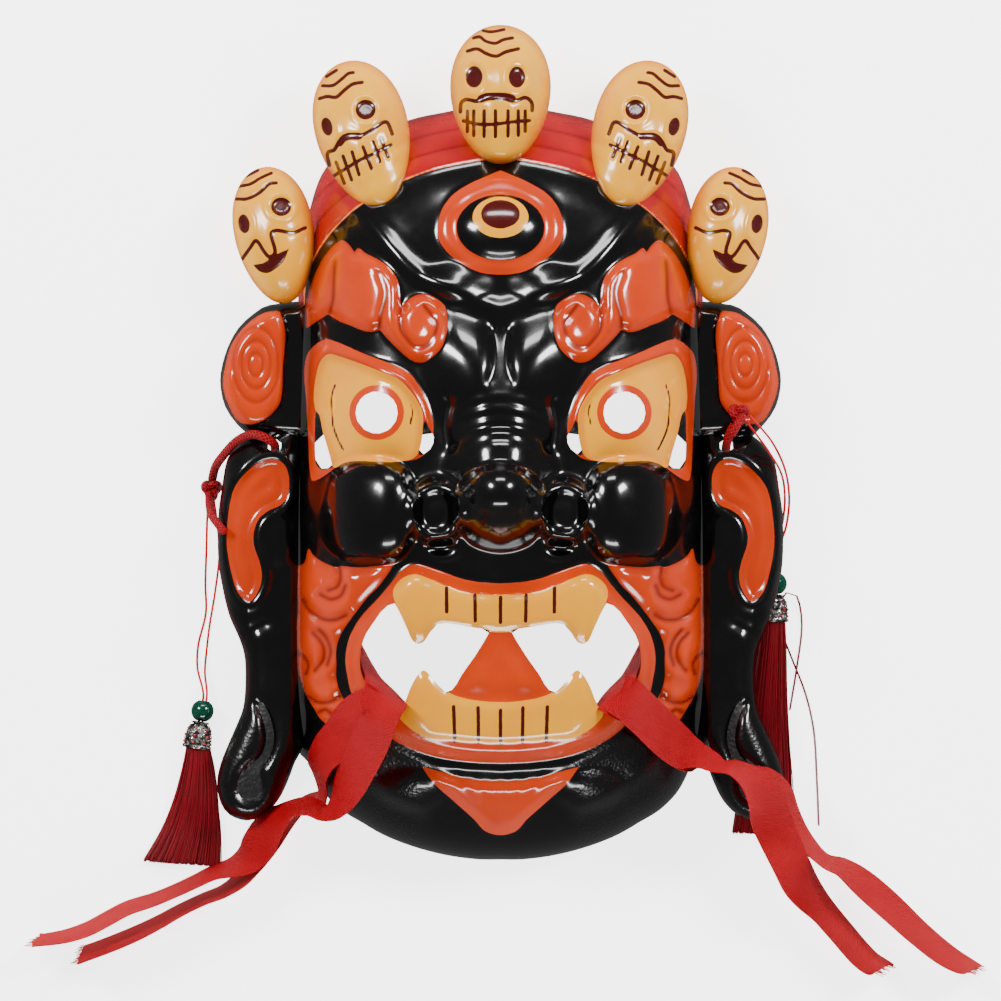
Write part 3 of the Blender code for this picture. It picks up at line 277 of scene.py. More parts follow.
# Both edges of each spread tassel, and two strands that have slipped out of one
TASSEL_EDGES = {
    "left": [[(-138.4, -130.6), (-139.6, -139.0), (-143.4, -154.0), (-149.8, -170.0), (-158.6, -185.0)],
             [(-128.6, -132.6), (-126.9, -141.0), (-125.0, -156.0), (-123.4, -171.0), (-123.4, -187.4)]],
    "right": [[(115.8, -74.6), (114.4, -88.0), (111.6, -108.0), (107.6, -135.0), (101.8, -172.6)],
              [(125.6, -74.6), (126.0, -90.0), (126.4, -112.0), (128.4, -140.0), (130.4, -173.4)]],
}
STRAY_STRANDS = [
    [(122.4, -72.0, 8.0), (126.0, -66.0, 6.0), (130.6, -67.5, 3.0), (132.9, -80.1, 0.6), (130.7, -99.0, 0.5),
     (127.6, -117.9, 0.5)],
    [(121.4, -77.0, 8.0), (128.0, -94.0, 3.0), (134.6, -110.9, 0.6), (138.2, -127.2, 0.5), (139.5, -147.4, 0.5),
     (140.4, -169.0, 0.5)],
]
KNOT_ENDS = {
    "left": [(-128.6, -22.0, 7.6), (-128.4, -27.0, 12.0), (-127.4, -31.5, 19.0), (-124.6, -35.5, 26.0),
             (-121.6, -39.0, 29.6)],
    "right": [(105.2, 10.6, 41.2), (103.4, 7.0, 42.8), (101.4, 3.4, 42.0)],
}
BEAD_RADIUS = 5.0
CAP_RADIUS = 6.2
CORD_RADIUS = 2.0
THREAD_RADIUS = 0.55
RIBBON_WIDTH = 20.0
RIBBON_THICKNESS = 0.6
RIBBON_LIFT = 1.1
RIBBON_COLUMNS = 11
STEEPEST_DRAPE = 1.1
# Rounds of smoothing: a tail held clear of the ground, the same tail let free, the whole course, its widths
CLEAR_PASSES = 24
FREE_PASSES = 8
COURSE_PASSES = 10
WIDTH_PASSES = 14
CUT_SLANT = 5.0
CUT_REACH = 8.0
FRAY_REACH = 4.0
FRAY_THREADS = 46
TASSEL_STRANDS = 760
LOWEST_STRAND = 0.35
LOWEST_KNOT = 5.6
# Ribbon tails in plan: x, y, and how much of the width shows from above
RIBBON_TAILS = {
    "left": {
        "under": [
            (-50.6, -112.9, .80), (-57.6, -115.8, .76), (-64.5, -120.4, .72), (-71.5, -130.0, .74),
            (-77.4, -136.6, .58), (-80.3, -143.5, .36), (-79.9, -150.5, .20), (-80.6, -156.2, .20),
            (-86.2, -159.2, .28), (-93.3, -164.3, .44), (-101.0, -171.8, .66), (-106.3, -178.4, .72),
            (-110.6, -186.2, .54), (-114.8, -192.6, .34), (-122.3, -198.0, .27), (-130.7, -201.4, .26),
            (-140.8, -206.2, .27), (-150.5, -211.4, .28), (-159.7, -215.8, .30), (-171.6, -220.6, .32),
            (-187.6, -226.4, .34),
        ],
        "over": [
            (-50.2, -113.2, .80), (-54.6, -125.0, .76), (-60.0, -136.8, .72), (-66.0, -148.8, .66),
            (-71.8, -157.2, .55), (-77.6, -161.6, .24), (-82.0, -161.4, .20), (-88.0, -161.2, .30),
            (-94.5, -164.2, .46), (-101.4, -169.8, .70), (-106.7, -176.6, .80), (-111.8, -182.8, .66),
            (-118.2, -186.8, .38), (-126.3, -189.4, .29), (-135.1, -193.8, .28), (-142.6, -197.4, .28),
            (-152.7, -201.6, .29), (-164.6, -205.4, .30), (-173.4, -209.8, .30), (-182.2, -214.2, .30),
            (-192.7, -217.4, .28), (-207.0, -219.4, .24),
        ],
    },
    "right": {
        "under": [
            (54.6, -110.4, .84), (65.1, -121, .84), (75.7, -131.1, .82), (84.9, -137.7, .70),
            (91.5, -140.8, .28), (95, -142.1, .20), (103.4, -143, .28), (113.1, -148.3, .54),
            (121.4, -155.8, .7), (127.6, -165.9, .6), (134.6, -175.6, .4), (143.4, -184.4, .3),
            (150.5, -187.4, .42), (158.4, -193.2, .58), (171.6, -204.6, .6), (184.8, -216.5, .56),
            (198, -226.6, .5), (211.2, -233.2, .3),
        ],
        "over": [
            (54.6, -110.4, .84), (65.1, -121, .84), (75.7, -131.1, .82), (84.9, -137.7, .70),
            (91.5, -140.8, .28), (95, -142.1, .20), (101.2, -143, .28), (109.1, -148.3, .56),
            (115.3, -155.8, .78), (119.7, -166.8, .86), (125, -179.1, .86), (130.7, -191, .76),
            (138.6, -202, .6), (149.6, -215.2, .56), (161.9, -228.4, .56), (170.7, -232.8, .4),
        ],
    },
}
RIBBON_INSIDE = [
    (49.6, -110.6, 73.0), (49.2, -110.0, 66.0), (51.0, -107.5, 50.0), (54.0, -103.0, 34.0),
    (56.0, -99.0, 18.0), (57.2, -96.7, 7.0), (60.0, -97.5, 2.0), (66.0, -100.5, 1.4),
    (68.2, -101.6, 3.2), (65.0, -100.2, 5.4), (60.6, -97.4, 7.4), (58.6, -96.0, 15.0),
    (57.0, -98.6, 32.0), (54.0, -103.0, 48.0), (51.0, -107.4, 62.0), (49.4, -109.8, 70.0),
]


# Drawing tools
def smooth_curve(points, step, closed=False):
    """Points a step apart on a smooth curve; a point given twice is a corner."""
    pts = np.array(points, float)
    count = len(pts)
    out = []
    for i in range(count if closed else count - 1):
        a, b = pts[i], pts[(i + 1) % count]
        length = np.linalg.norm(b - a)
        if length < 1e-9:
            continue
        before = pts[(i - 1) % count] if closed or i > 0 else a
        after = pts[(i + 2) % count] if closed or i + 2 < count else b
        start = (b - before) * length / (length + np.linalg.norm(a - before))
        end = (after - a) * length / (length + np.linalg.norm(after - b))
        steps = max(1, round(length / step))
        for k in range(steps):
            t = k / steps
            out.append((2 * t**3 - 3 * t**2 + 1) * a + (t**3 - 2 * t**2 + t) * start
                       + (3 * t**2 - 2 * t**3) * b + (t**3 - t**2) * end)
    if not closed:
        out.append(pts[-1])
    return np.array(out)


def both_halves(half):
    return half + [(-x, y) for x, y in reversed(half[1:-1])]


def signed_distance(loop, x, y, reach=None):
    """How far each point is inside a closed outline; outside it is negative."""
    low, high = loop.min(0), loop.max(0)
    out = np.full(x.shape, -1e3)
    if reach is None:
        near = np.ones(x.shape, bool)
    else:
        near = (x > low[0] - reach) & (x < high[0] + reach)
        near &= (y > low[1] - reach) & (y < high[1] + reach)
        out[:] = -reach
    places = np.nonzero(near)[0]
    a = loop
    edge = np.roll(loop, -1, axis=0) - a
    length2 = np.maximum((edge**2).sum(axis=1), 1e-12)
    slope = edge[:, 0] / np.where(edge[:, 1] == 0, 1, edge[:, 1])
    for chunk in np.array_split(places, max(1, len(places) // 20000)):
        px = x[chunk, None] - a[:, 0]
        py = y[chunk, None] - a[:, 1]
        along = np.clip((px * edge[:, 0] + py * edge[:, 1]) / length2, 0, 1)
        away = np.sqrt(((px - along * edge[:, 0])**2 + (py - along * edge[:, 1])**2).min(axis=1))
        spans = (py < 0) != (py < edge[:, 1])
        inside = (spans & (px < slope * py)).sum(axis=1) % 2 == 1
        out[chunk] = np.where(inside, away, -away)
    return out if reach is None else np.maximum(out, -reach)


def line_distance(line, x, y, reach=12.0):
    """How far each point is from a line, up to a reach."""
    low, high = line.min(0) - reach, line.max(0) + reach
    near = (x > low[0]) & (x < high[0]) & (y > low[1]) & (y < high[1])
    out = np.full(x.shape, reach)
    a = line[:-1]
    edge = line[1:] - a
    px = x[near, None] - a[:, 0]
    py = y[near, None] - a[:, 1]
    along = np.clip((px * edge[:, 0] + py * edge[:, 1]) / (edge**2).sum(axis=1), 0, 1)
    away = np.sqrt(((px - along * edge[:, 0])**2 + (py - along * edge[:, 1])**2).min(axis=1))
    out[near] = np.minimum(reach, away)
    return out


def ease(t):
    t = np.clip(t, 0, 1)
    return t * t * (3 - 2 * t)


def dome(depth_in, reach):
    return np.sqrt(np.maximum(0, 1 - (1 - np.clip(depth_in / reach, 0, 1))**2))


def ellipse(x, y, cx, cy, rx, ry):
    """About how far inside an ellipse each point is."""
    return (1 - np.hypot((x - cx) / rx, (y - cy) / ry)) * min(rx, ry)


def blurred(grid, cells):
    """A grid of values smoothed by a bell a few cells wide."""
    size = max(1, int(3 * cells + 0.5))
    bell = np.exp(-0.5 * (np.arange(-size, size + 1) / cells)**2)
    bell /= bell.sum()
    for axis in (0, 1):
        margins = [(size, size) if k == axis else (0, 0) for k in (0, 1)]
        padded, cells_long = np.pad(grid, margins, mode="edge"), grid.shape[axis]
        grid = sum(w * np.take(padded, range(k, k + cells_long), axis=axis) for k, w in enumerate(bell))
    return grid


class Field:
    """Values on a grid in plan, read between its points."""

    def __init__(self, low, high, step, values=None):
        self.step = step
        self.xs = np.arange(low[0], high[0] + step, step)
        self.ys = np.arange(low[1], high[1] + step, step)
        gx, gy = np.meshgrid(self.xs, self.ys)
        self.shape = gx.shape
        self.x, self.y = gx.ravel(), gy.ravel()
        self.grid = None if values is None else values(self.x, self.y).reshape(self.shape)

    def __call__(self, x, y):
        u = np.clip((x - self.xs[0]) / self.step, 0, self.shape[1] - 1.001)
        v = np.clip((y - self.ys[0]) / self.step, 0, self.shape[0] - 1.001)
        i, j = u.astype(int), v.astype(int)
        u, v = u - i, v - j
        g = self.grid
        return ((g[j, i] * (1 - u) + g[j, i + 1] * u) * (1 - v)
                + (g[j + 1, i] * (1 - u) + g[j + 1, i + 1] * u) * v)


# The mask's forms
HEAD_LOOP = smooth_curve(both_halves(HEAD), 4, True)
EAR_LOOP = smooth_curve(EAR, 3, True)
HELIX_LOOP = smooth_curve(HELIX, 1.5, True)
PLATE_LOOP = smooth_curve(DISC_PLATE, 4, True)
SWELLS = [
    (0, -28, 20.5, 19, 14.5, 0.6), (0, -12, 26, 20, 7, 1.0), (28, -30, 14, 15.5, 8, 0.65),
    (26, -45.5, 11, 7, 3.0, 0.9), (26, -45.5, 7.5, 4.2, -6, 0.9), (18, 38, 19, 22, 7, 1.3),
    (19, 71, 17, 9, 3.5, 1.2),
    (0, 94.5, 19.2, 14.4, 7, 0.6), (55, 12, 25, 23, 5, 1.2), (38, -152, 17, 10, 6, 1.0),
    (0, -84, 14, 30, -4, 1.2), (38, -70, 8, 16, 2.0, 0.8), (33.5, -112, 9, 13, 1.6, 0.8),
]
ZONES = [(BROW, 5.0, 4.0), (LID, 3.0, 3.0), (EYEBALL, -3.5, 2.6), (CHEEK, 3.0, 3.6)]
MIDDLE_ZONES = [
    (LIPS, 6.0, 5.0), (THIRD_EYE, 2.5, 2.6), (GOATEE, 3.5, 4.0), (TEETH_UPPER, 1.8, 3.0),
    (TEETH_LOWER, 1.8, 3.0), (TONGUE, 2.0, 8.0),
]
RIDGES = [
    (BROW_SPLIT, -2.0, 1.7), (BROW_FOLD, -2.0, 1.7), (SPIRAL, -2.5, 1.6),
    ([(0, 58), (10.5, 61.5), (21, 66.5), (31.5, 71.5), (39.5, 77), (46.5, 84), (54.5, 93), (61.5, 100.5)],
     3.0, 4.2),
    ([(3.2, 50), (2.4, 42), (2.6, 34), (4.5, 27)], -2.2, 1.6), ([(22.5, 18), (24.5, 8), (23, -2)], -2.2, 2.2),
    ([(78.5, -128.5), (66, -141.5), (50.5, -152.5), (34.5, -160.5)], 3.0, 4.0),
    ([(0, -144), (30, -141), (56, -128)], 2.0, 2.6),
]
NOSTRIL_RING = (28, -30, 9.6, 11.2)
CHEEK_BALL = (57, -30, 20.5, 23.0)
RIDGES += [(line, -1.3, 1.4) for line in GOATEE_STRANDS]
RIDGES += [(line, -0.5, 1.0) for line in TOOTH_LINES]
ZONE_LOOPS = [(smooth_curve(z, 2.0, True), rise, slope) for z, rise, slope in ZONES]
MIDDLE_LOOPS = [(smooth_curve(both_halves(z), 2.0, True), rise, slope) for z, rise, slope in MIDDLE_ZONES]
RIDGE_LINES = [(smooth_curve(line, 2.0), rise, width) for line, rise, width in RIDGES]
CURL_LINES = [smooth_curve(line, 1.5) for line in CHEEK_CURLS]
FOREHEAD_LOOP = smooth_curve(both_halves(FOREHEAD), 2.5, True)
MOUTH_LOOP = smooth_curve(MOUTH, 1.5, True)
SLOT_LOOPS = [smooth_curve(slot, 1.5, True) for slot in (SLOT_INNER, SLOT_OUTER)]


def band_depth(x, y):
    """How far above the line of the forehead each point of the head band is."""
    return -signed_distance(FOREHEAD_LOOP, x, y, 40.0)


def face_relief(x, y):
    """What the carving adds to the plain form of the head."""
    side = np.abs(x)
    rise = np.zeros_like(x)
    for cx, cy, rx, ry, height, fullness in SWELLS:
        inside = np.maximum(0, 1 - ((side - cx) / rx)**2 - ((y - cy) / ry)**2)
        rise += height * inside**fullness
    for loop, height, slope in ZONE_LOOPS:
        rise += height * ease(signed_distance(loop, side, y, 2.0) / slope)
    for loop, height, slope in MIDDLE_LOOPS:
        rise += height * ease(signed_distance(loop, x, y, 2.0) / slope)
    for line, height, width in RIDGE_LINES:
        rise += height * np.exp(-(line_distance(line, side, y) / width)**2)
    for line in CURL_LINES:
        away = line_distance(line, side, y)
        rise += 1.5 * np.exp(-((away - 3.4) / 2.0)**2) - 2.8 * np.exp(-(away / 1.5)**2)
    cx, cy, rx, ry = CHEEK_BALL
    away = (np.abs((side - cx) / rx)**2.7 + np.abs((y - cy) / ry)**2.7)
    rise += 15 * np.maximum(0, 1 - away)**0.55
    cx, cy, rx, ry = NOSTRIL_RING
    away = (np.hypot((side - cx) / rx, (y - cy) / ry) - 1) * 9
    rise += 2.4 * np.exp(-(away / 1.7)**2) - 3.2 * ease(-away / 4.5)
    across_bridge = np.exp(-(side / 17)**4) * ease((24 - y) / 4) * ease((y + 3) / 4)
    rise += 0.95 * np.cos((y + 0.016 * side**2 - 20.5) * math.tau / 5.4) * across_bridge
    rise += 11 * np.exp(-np.abs(x / 18)**3) * ease((58 - y) / 45) * ease((y + 48) / 22)
    band = band_depth(x, y)
    folds = 1.5 * np.abs(np.sin(band * math.pi / FOLD_PITCH))**0.7 * ease(band / 3)
    return rise + folds + 1.6 * np.exp(-((band - 1.2) / 1.4)**2)


head_in = Field(*HEAD_BOX, 1.0, lambda x, y: signed_distance(HEAD_LOOP, x, y))
plain_dome = Field(*HEAD_BOX, 1.0)
plain_dome.grid = dome(head_in.grid, HEAD_DOME)
soft_dome = blurred(plain_dome.grid, 4.0)
inward = ease((head_in.grid - 7) / 10)
plain_dome.grid = soft_dome * inward + plain_dome.grid * (1 - inward)
relief = Field(*HEAD_BOX, HEAD_STEP, face_relief)
relief.grid = blurred(relief.grid, 1.6)
soft_relief = Field(*HEAD_BOX, HEAD_STEP)
soft_relief.grid = blurred(relief.grid, 3.0)


def head_field(x, y):
    return signed_distance(HEAD_LOOP, x, y)


def head_plain(x, y, inside):
    """The head without its carving, true at its edge and smooth inside it."""
    near = dome(inside, HEAD_DOME)
    share = ease((inside - 7) / 10)
    return (77 - 0.0010 * (y + 10)**2 - 0.0016 * x**2) * np.where(share > 0, plain_dome(x, y), near)


def head_front(x, y, inside):
    return np.maximum(0, head_plain(x, y, inside) + relief(x, y) * ease(inside / 9))


def head_back(x, y, inside):
    """The back of the wall, plainer than the front and a wall behind it."""
    deep = np.maximum(0, inside - WALL)
    shell = (74.5 - 0.0010 * (y + 10)**2 - 0.0016 * x**2) * dome(deep, 45.5)
    behind = shell + (soft_relief(x, y) - 0.6) * ease(deep / 9)
    return np.maximum(0, np.minimum(behind, head_front(x, y, inside) - 1.4 * ease(deep / 3)))


def ear_lines(x, y):
    """Grooves and rims of one ear, the right one."""
    cut = signed_distance(HELIX_LOOP, x, y, 8.0)
    rise = 2.2 * np.exp(-((cut + 2.0) / 2.0)**2) - 2.6 * ease(cut / 3.5)
    rise += 1.6 * np.exp(-((cut - 6) / 3.0)**2)
    slit = line_distance(smooth_curve(EAR_SLIT, 1.5), x, y)
    rise -= 4.5 * np.exp(-(slit / 2.3)**2)
    hollow = np.maximum(0, 1 - ((x - 110.5) / 8.5)**2 - ((y + 151) / 10.5)**2)
    rise -= 4.5 * hollow**0.9
    crescent = line_distance(smooth_curve(EAR_CRESCENT, 1.5), x, y)
    rise -= 1.8 * np.exp(-(crescent / 2.4)**2)
    ball = np.maximum(0, 1 - ((x - 99) / 9)**2 - ((y + 43) / 13)**2)
    return rise + 2.5 * ball**0.8


ear_relief = Field((80, -170), (130, 66), EAR_STEP, ear_lines)
ear_relief.grid = blurred(ear_relief.grid, 1.6)


def disc_ring(x, y):
    """How far out each point is among the oval rings of the ear disc."""
    return np.hypot((x - 107.6) * 1.65, y - 34.5)


def ear_form(x, y, wall=0.0):
    """Height of the right ear and its disc, or of their back where a wall is given."""
    inside = signed_distance(EAR_LOOP, x, y)
    form = EAR_RIM_LIFT + (27 - wall - EAR_RIM_LIFT) * dome(inside - wall, 10 - wall)
    form += (ear_relief(x, y) if wall == 0 else 0) * ease(inside / 3)
    form = np.where(inside > -0.3, form, EAR_RIM_LIFT)
    plate = signed_distance(PLATE_LOOP, x, y)
    round_form = EAR_RIM_LIFT + (29 - wall - EAR_RIM_LIFT) * dome(plate - wall, 7 - wall)
    if wall == 0:
        disc = signed_distance(smooth_curve(DISC, 2.0, True), x, y)
        round_form += 4.2 * dome(disc, 6.5)
        ring = disc_ring(x, y)
        cut = sum(0.7 * np.exp(-((ring - r) / 1.5)**2) for r in DISC_RINGS)
        round_form -= cut * ease(disc / 3)
    round_form = np.where(plate > -0.3, round_form, EAR_RIM_LIFT)
    return np.maximum(np.maximum(form, round_form), EAR_RIM_LIFT)


def ear_field(x, y):
    outline = np.maximum(signed_distance(EAR_LOOP, x, y), signed_distance(PLATE_LOOP, x, y))
    return np.minimum(outline, 3.4 - signed_distance(HEAD_LOOP, x, y))


# Meshes
def make_mesh(name, verts, faces, materials, values=None, smooth=True, sharp=None):
    """A mesh in metres from millimetres, with a named value at each vertex for the paint."""
    mesh = bpy.data.meshes.new(name)
    mesh.from_pydata((np.asarray(verts, float) * MM).tolist(), [], faces)
    for material in materials if isinstance(materials, (list, tuple)) else [materials]:
        mesh.materials.append(material)
    for key, value in (values or {}).items():
        layer = mesh.attributes.new(key, "FLOAT", "POINT")
        layer.data.foreach_set("value", np.asarray(value, np.float32))
    mesh.validate()
    if smooth:
        mesh.shade_smooth()
    if sharp is not None:
        mesh.set_sharp_from_angle(angle=math.radians(sharp))
    mesh.update()
    obj = bpy.data.objects.new(name, mesh)
    bpy.context.scene.collection.objects.link(obj)
    return obj


def clipped_grid(low, high, step, field):
    """Plan points and faces of a square grid inside a line, with the edge on the line itself."""
    xs = np.arange(low[0], high[0] + step, step)
    ys = np.arange(low[1], high[1] + step, step)
    gx, gy = np.meshgrid(xs, ys)
    level = field(gx.ravel(), gy.ravel()).reshape(gx.shape)
    dy, dx = np.gradient(level, step)
    steep = np.maximum(dx**2 + dy**2, 0.25)
    close = np.abs(level) < 0.3 * step
    gx = np.where(close, gx - level * dx / steep, gx)
    gy = np.where(close, gy - level * dy / steep, gy)
    level = np.where(close, 0.0, level)
    rows, cols = level.shape
    keep = level >= 0
    number = np.arange(rows * cols).reshape(rows, cols)
    corners = [number[:-1, :-1], number[:-1, 1:], number[1:, 1:], number[1:, :-1]]
    kept = [keep[:-1, :-1], keep[:-1, 1:], keep[1:, 1:], keep[1:, :-1]]
    total = sum(k.astype(int) for k in kept)
    whole = np.stack([c[total == 4] for c in corners], axis=1)
    part = np.stack([c[(total > 0) & (total < 4)] for c in corners], axis=1)
    flat_x, flat_y, flat_level = gx.ravel(), gy.ravel(), level.ravel()
    extra, places, faces = [], {}, [tuple(f) for f in whole.tolist()]
    for cell in part.tolist():
        face = []
        for k in range(4):
            a, b = cell[k], cell[(k + 1) % 4]
            la, lb = flat_level[a], flat_level[b]
            if la >= 0:
                face.append(a)
            if (la >= 0) != (lb >= 0) and max(la, lb) > 0:
                key = (min(a, b), max(a, b))
                if key not in places:
                    t = la / (la - lb)
                    places[key] = rows * cols + len(extra)
                    extra.append((flat_x[a] + t * (flat_x[b] - flat_x[a]),
                                  flat_y[a] + t * (flat_y[b] - flat_y[a])))
                face.append(places[key])
        if len(face) > 2:
            faces.append(tuple(face))
    points = np.concatenate([np.stack([flat_x, flat_y], axis=1), np.array(extra).reshape(-1, 2)])
    used = np.unique(np.concatenate([np.array(f) for f in faces]))
    renumber = np.full(len(points), -1)
    renumber[used] = np.arange(len(used))
    return points[used], [tuple(int(renumber[v]) for v in f) for f in faces]


def edge_loops(faces):
    """Rings of vertices along the open edges, in the faces' own direction."""
    ways = {}
    seen = set()
    for face in faces:
        for k in range(len(face)):
            seen.add((face[k], face[(k + 1) % len(face)]))
    for a, b in seen:
        if (b, a) not in seen:
            ways.setdefault(a, []).append(b)
    loops = []
    while ways:
        start = next(iter(ways))
        loop, at = [start], ways[start].pop()
        if not ways[start]:
            del ways[start]
        while at != start:
            loop.append(at)
            following = ways[at].pop()
            if not ways[at]:
                del ways[at]
            at = following
        loops.append(loop)
    return loops


def stitch(front, back, points, faces):
    """Faces between two rings of different count that run the same way."""
    a, b = points[front], points[back]
    start = int(np.argmin(((b - a[0])**2).sum(axis=1)))
    back = back[start:] + back[:start]
    b = points[back]
    la, lb = len(front), len(back)
    i = j = 0
    while i < la or j < lb:
        step_a = np.linalg.norm(a[(i + 1) % la] - b[j % lb]) if i < la else 1e9
        step_b = np.linalg.norm(a[i % la] - b[(j + 1) % lb]) if j < lb else 1e9
        if step_a <= step_b:
            faces.append((front[(i + 1) % la], front[i % la], back[j % lb]))
            i += 1
        else:
            faces.append((front[i % la], back[j % lb], back[(j + 1) % lb]))
            j += 1


def shell(name, low, high, step, back_step, outline, holes, front_height, back_height, paint):
    """A hollow moulding: fine front, plainer back, and a wall round its rim and openings."""
    def inside(x, y, inset=0.0):
        level = outline(x, y) - inset
        for hole in holes:
            level = np.minimum(level, -hole(x, y))
        return level

    flat, faces = clipped_grid(low, high, step, inside)
    x, y = flat[:, 0], flat[:, 1]
    front = np.column_stack([flat, front_height(x, y)])
    back_flat, back_faces = clipped_grid(low, high, back_step, lambda x, y: inside(x, y, WALL))
    back = np.column_stack([back_flat, back_height(back_flat[:, 0], back_flat[:, 1])])
    loops = sorted(edge_loops(faces), key=len, reverse=True)
    back_loops = edge_loops(back_faces)
    count = len(front)
    points = np.concatenate([front, back])
    body = list(faces) + [tuple(count + v for v in reversed(f)) for f in back_faces]
    middles = [back[loop].mean(0)[:2] for loop in back_loops]
    spans = [np.ptp(back[loop][:, :2], axis=0).sum() for loop in back_loops]
    for loop in loops:
        middle = front[loop].mean(0)[:2]
        span = np.ptp(front[loop][:, :2], axis=0).sum()
        match = min(range(len(back_loops)),
                    key=lambda k: np.linalg.norm(middles[k] - middle) + abs(spans[k] - span))
        stitch(loop, [count + v for v in back_loops[match]], points, body)
    values = {key: np.concatenate([value, np.full(len(back), low_value)])
              for key, (value, low_value) in paint(x, y).items()}
    obj = make_mesh(name, points, body, [ENAMEL, BACK], values, sharp=50)
    index = np.zeros(len(obj.data.polygons), np.int32)
    index[len(faces):] = 1
    obj.data.polygons.foreach_set("material_index", index)
    return obj


# Materials
def new_material(name):
    material = bpy.data.materials.new(name)
    material.use_nodes = True
    tree = material.node_tree
    return material, tree, tree.nodes["Principled BSDF"]


def feed(tree, socket, value):
    """Links a socket to another's output, or gives it a fixed value."""
    if isinstance(value, bpy.types.NodeSocket):
        tree.links.new(value, socket)
    else:
        socket.default_value = value


def node(tree, kind, inputs=None, **settings):
    made = tree.nodes.new(kind)
    for key, value in settings.items():
        setattr(made, key, value)
    for key, value in (inputs or {}).items():
        feed(tree, made.inputs[key], value)
    return made


def group_node(tree, group, inputs):
    return node(tree, "ShaderNodeGroup", inputs, node_tree=group)


def mix(tree, share, a, b):
    """One colour over another by a share."""
    return node(tree, "ShaderNodeMix", {0: share, 6: a, 7: b}, data_type="RGBA").outputs[2]


def sum_of(tree, operation, *values, **settings):
    """The result of a sum on values, by the name of its operation."""
    inputs = dict(enumerate(values))
    return node(tree, "ShaderNodeMath", inputs, operation=operation, **settings).outputs[0]


def noise(tree, place, scale, detail=2.0, **more):
    """A cloudy value between 0 and 1."""
    inputs = {"Vector": place, "Scale": scale, "Detail": detail, **more}
    return node(tree, "ShaderNodeTexNoise", inputs).outputs["Fac"]


def cells(tree, place, scale):
    """How far each point is from the middle of its cell."""
    return node(tree, "ShaderNodeTexVoronoi", {"Vector": place, "Scale": scale}).outputs["Distance"]


def remap(tree, value, low=0.0, high=1.0, to_low=0.0, to_high=1.0, **settings):
    """A value carried from one range to another."""
    inputs = {0: value, 1: low, 2: high, 3: to_low, 4: to_high}
    return node(tree, "ShaderNodeMapRange", inputs, **settings).outputs[0]


def attribute(tree, name):
    return node(tree, "ShaderNodeAttribute", attribute_name=name).outputs["Fac"]


def object_place(tree):
    return tree.nodes.new("ShaderNodeTexCoord").outputs["Object"]


def weave_place(tree):
    """Where each point is along and across a cord or ribbon."""
    uv = node(tree, "ShaderNodeUVMap", uv_map="weave").outputs["UV"]
    split = node(tree, "ShaderNodeSeparateXYZ", {"Vector": uv})
    return split.outputs["X"], split.outputs["Y"]


def finish_surface(tree, bsdf, colour, rough, values=None, bump=None, invert=False):
    """Gives a surface its colour, roughness, other values, and a bump of (strength, distance, height)."""
    feed(tree, bsdf.inputs["Base Color"], colour)
    feed(tree, bsdf.inputs["Roughness"], rough)
    for key, value in (values or {}).items():
        feed(tree, bsdf.inputs[key], value)
    if bump:
        inputs = dict(zip(("Strength", "Distance", "Height"), bump))
        made = node(tree, "ShaderNodeBump", inputs, invert=invert)
        tree.links.new(made.outputs["Normal"], bsdf.inputs["Normal"])


def shader_group(name, inputs, outputs):
    """An empty shader group with its named inputs and outputs."""
    group = bpy.data.node_groups.new(name, "ShaderNodeTree")
    for label, kind, value in inputs:
        socket = group.interface.new_socket(label, in_out="INPUT", socket_type=kind)
        if value is not None:
            socket.default_value = value
    for label, kind in outputs:
        group.interface.new_socket(label, in_out="OUTPUT", socket_type=kind)
    return group, group.nodes.new("NodeGroupInput"), group.nodes.new("NodeGroupOutput")


def paint_edge_group():
    """Where a drawn zone holds paint: 1 inside its line, with a hand-painted waver of its edge."""
    group, start, end = shader_group(
        "painted zone",
        [("Zone", "NodeSocketFloat", 0.0), ("Waver", "NodeSocketFloat", 0.06),
         ("Soft", "NodeSocketFloat", 0.12), ("Vector", "NodeSocketVector", None)],
        [("Paint", "NodeSocketFloat")])
    given = start.outputs
    centred = sum_of(group, "SUBTRACT", noise(group, given["Vector"], 260.0), 0.5)
    moved = sum_of(group, "MULTIPLY_ADD", centred, given["Waver"], given["Zone"])
    below = sum_of(group, "MULTIPLY", given["Soft"], -1.0)
    paint = remap(group, moved, below, given["Soft"], interpolation_type="SMOOTHSTEP")
    group.links.new(paint, end.inputs["Paint"])
    return group


def skin_group():
    """The slightly uneven skin of sprayed moulding: orange peel, leathery grain and faint dust."""
    group, start, end = shader_group(
        "moulded skin",
        [("Vector", "NodeSocketVector", None), ("Leather", "NodeSocketFloat", 0.0),
         ("Peel", "NodeSocketFloat", 0.15)],
        [("Height", "NodeSocketFloat"), ("Dust", "NodeSocketFloat")])
    given = start.outputs
    peel = noise(group, given["Vector"], 190.0, 3.0)
    fine = noise(group, given["Vector"], 900.0, 3.0)
    grain = sum_of(group, "ADD", cells(group, given["Vector"], 620.0), fine)
    leather = sum_of(group, "MULTIPLY", grain, given["Leather"])
    height = sum_of(group, "MULTIPLY_ADD", peel, given["Peel"], leather)
    specks = noise(group, given["Vector"], 55.0, 6.0, Roughness=0.7)
    group.links.new(height, end.inputs["Height"])
    group.links.new(remap(group, specks, 0.45, 0.8), end.inputs["Dust"])
    return group


PAINT_EDGE = paint_edge_group()
SKIN = skin_group()
BLACK = (0.0012, 0.0010, 0.0011, 1)
MAROON = (0.055, 0.0024, 0.0018, 1)
# Painted highlight: a gilt-coloured line along the lower ridge of the head band
PAINTED_HIGHLIGHT_COLOUR = (0.80, 0.20, 0.02, 1)
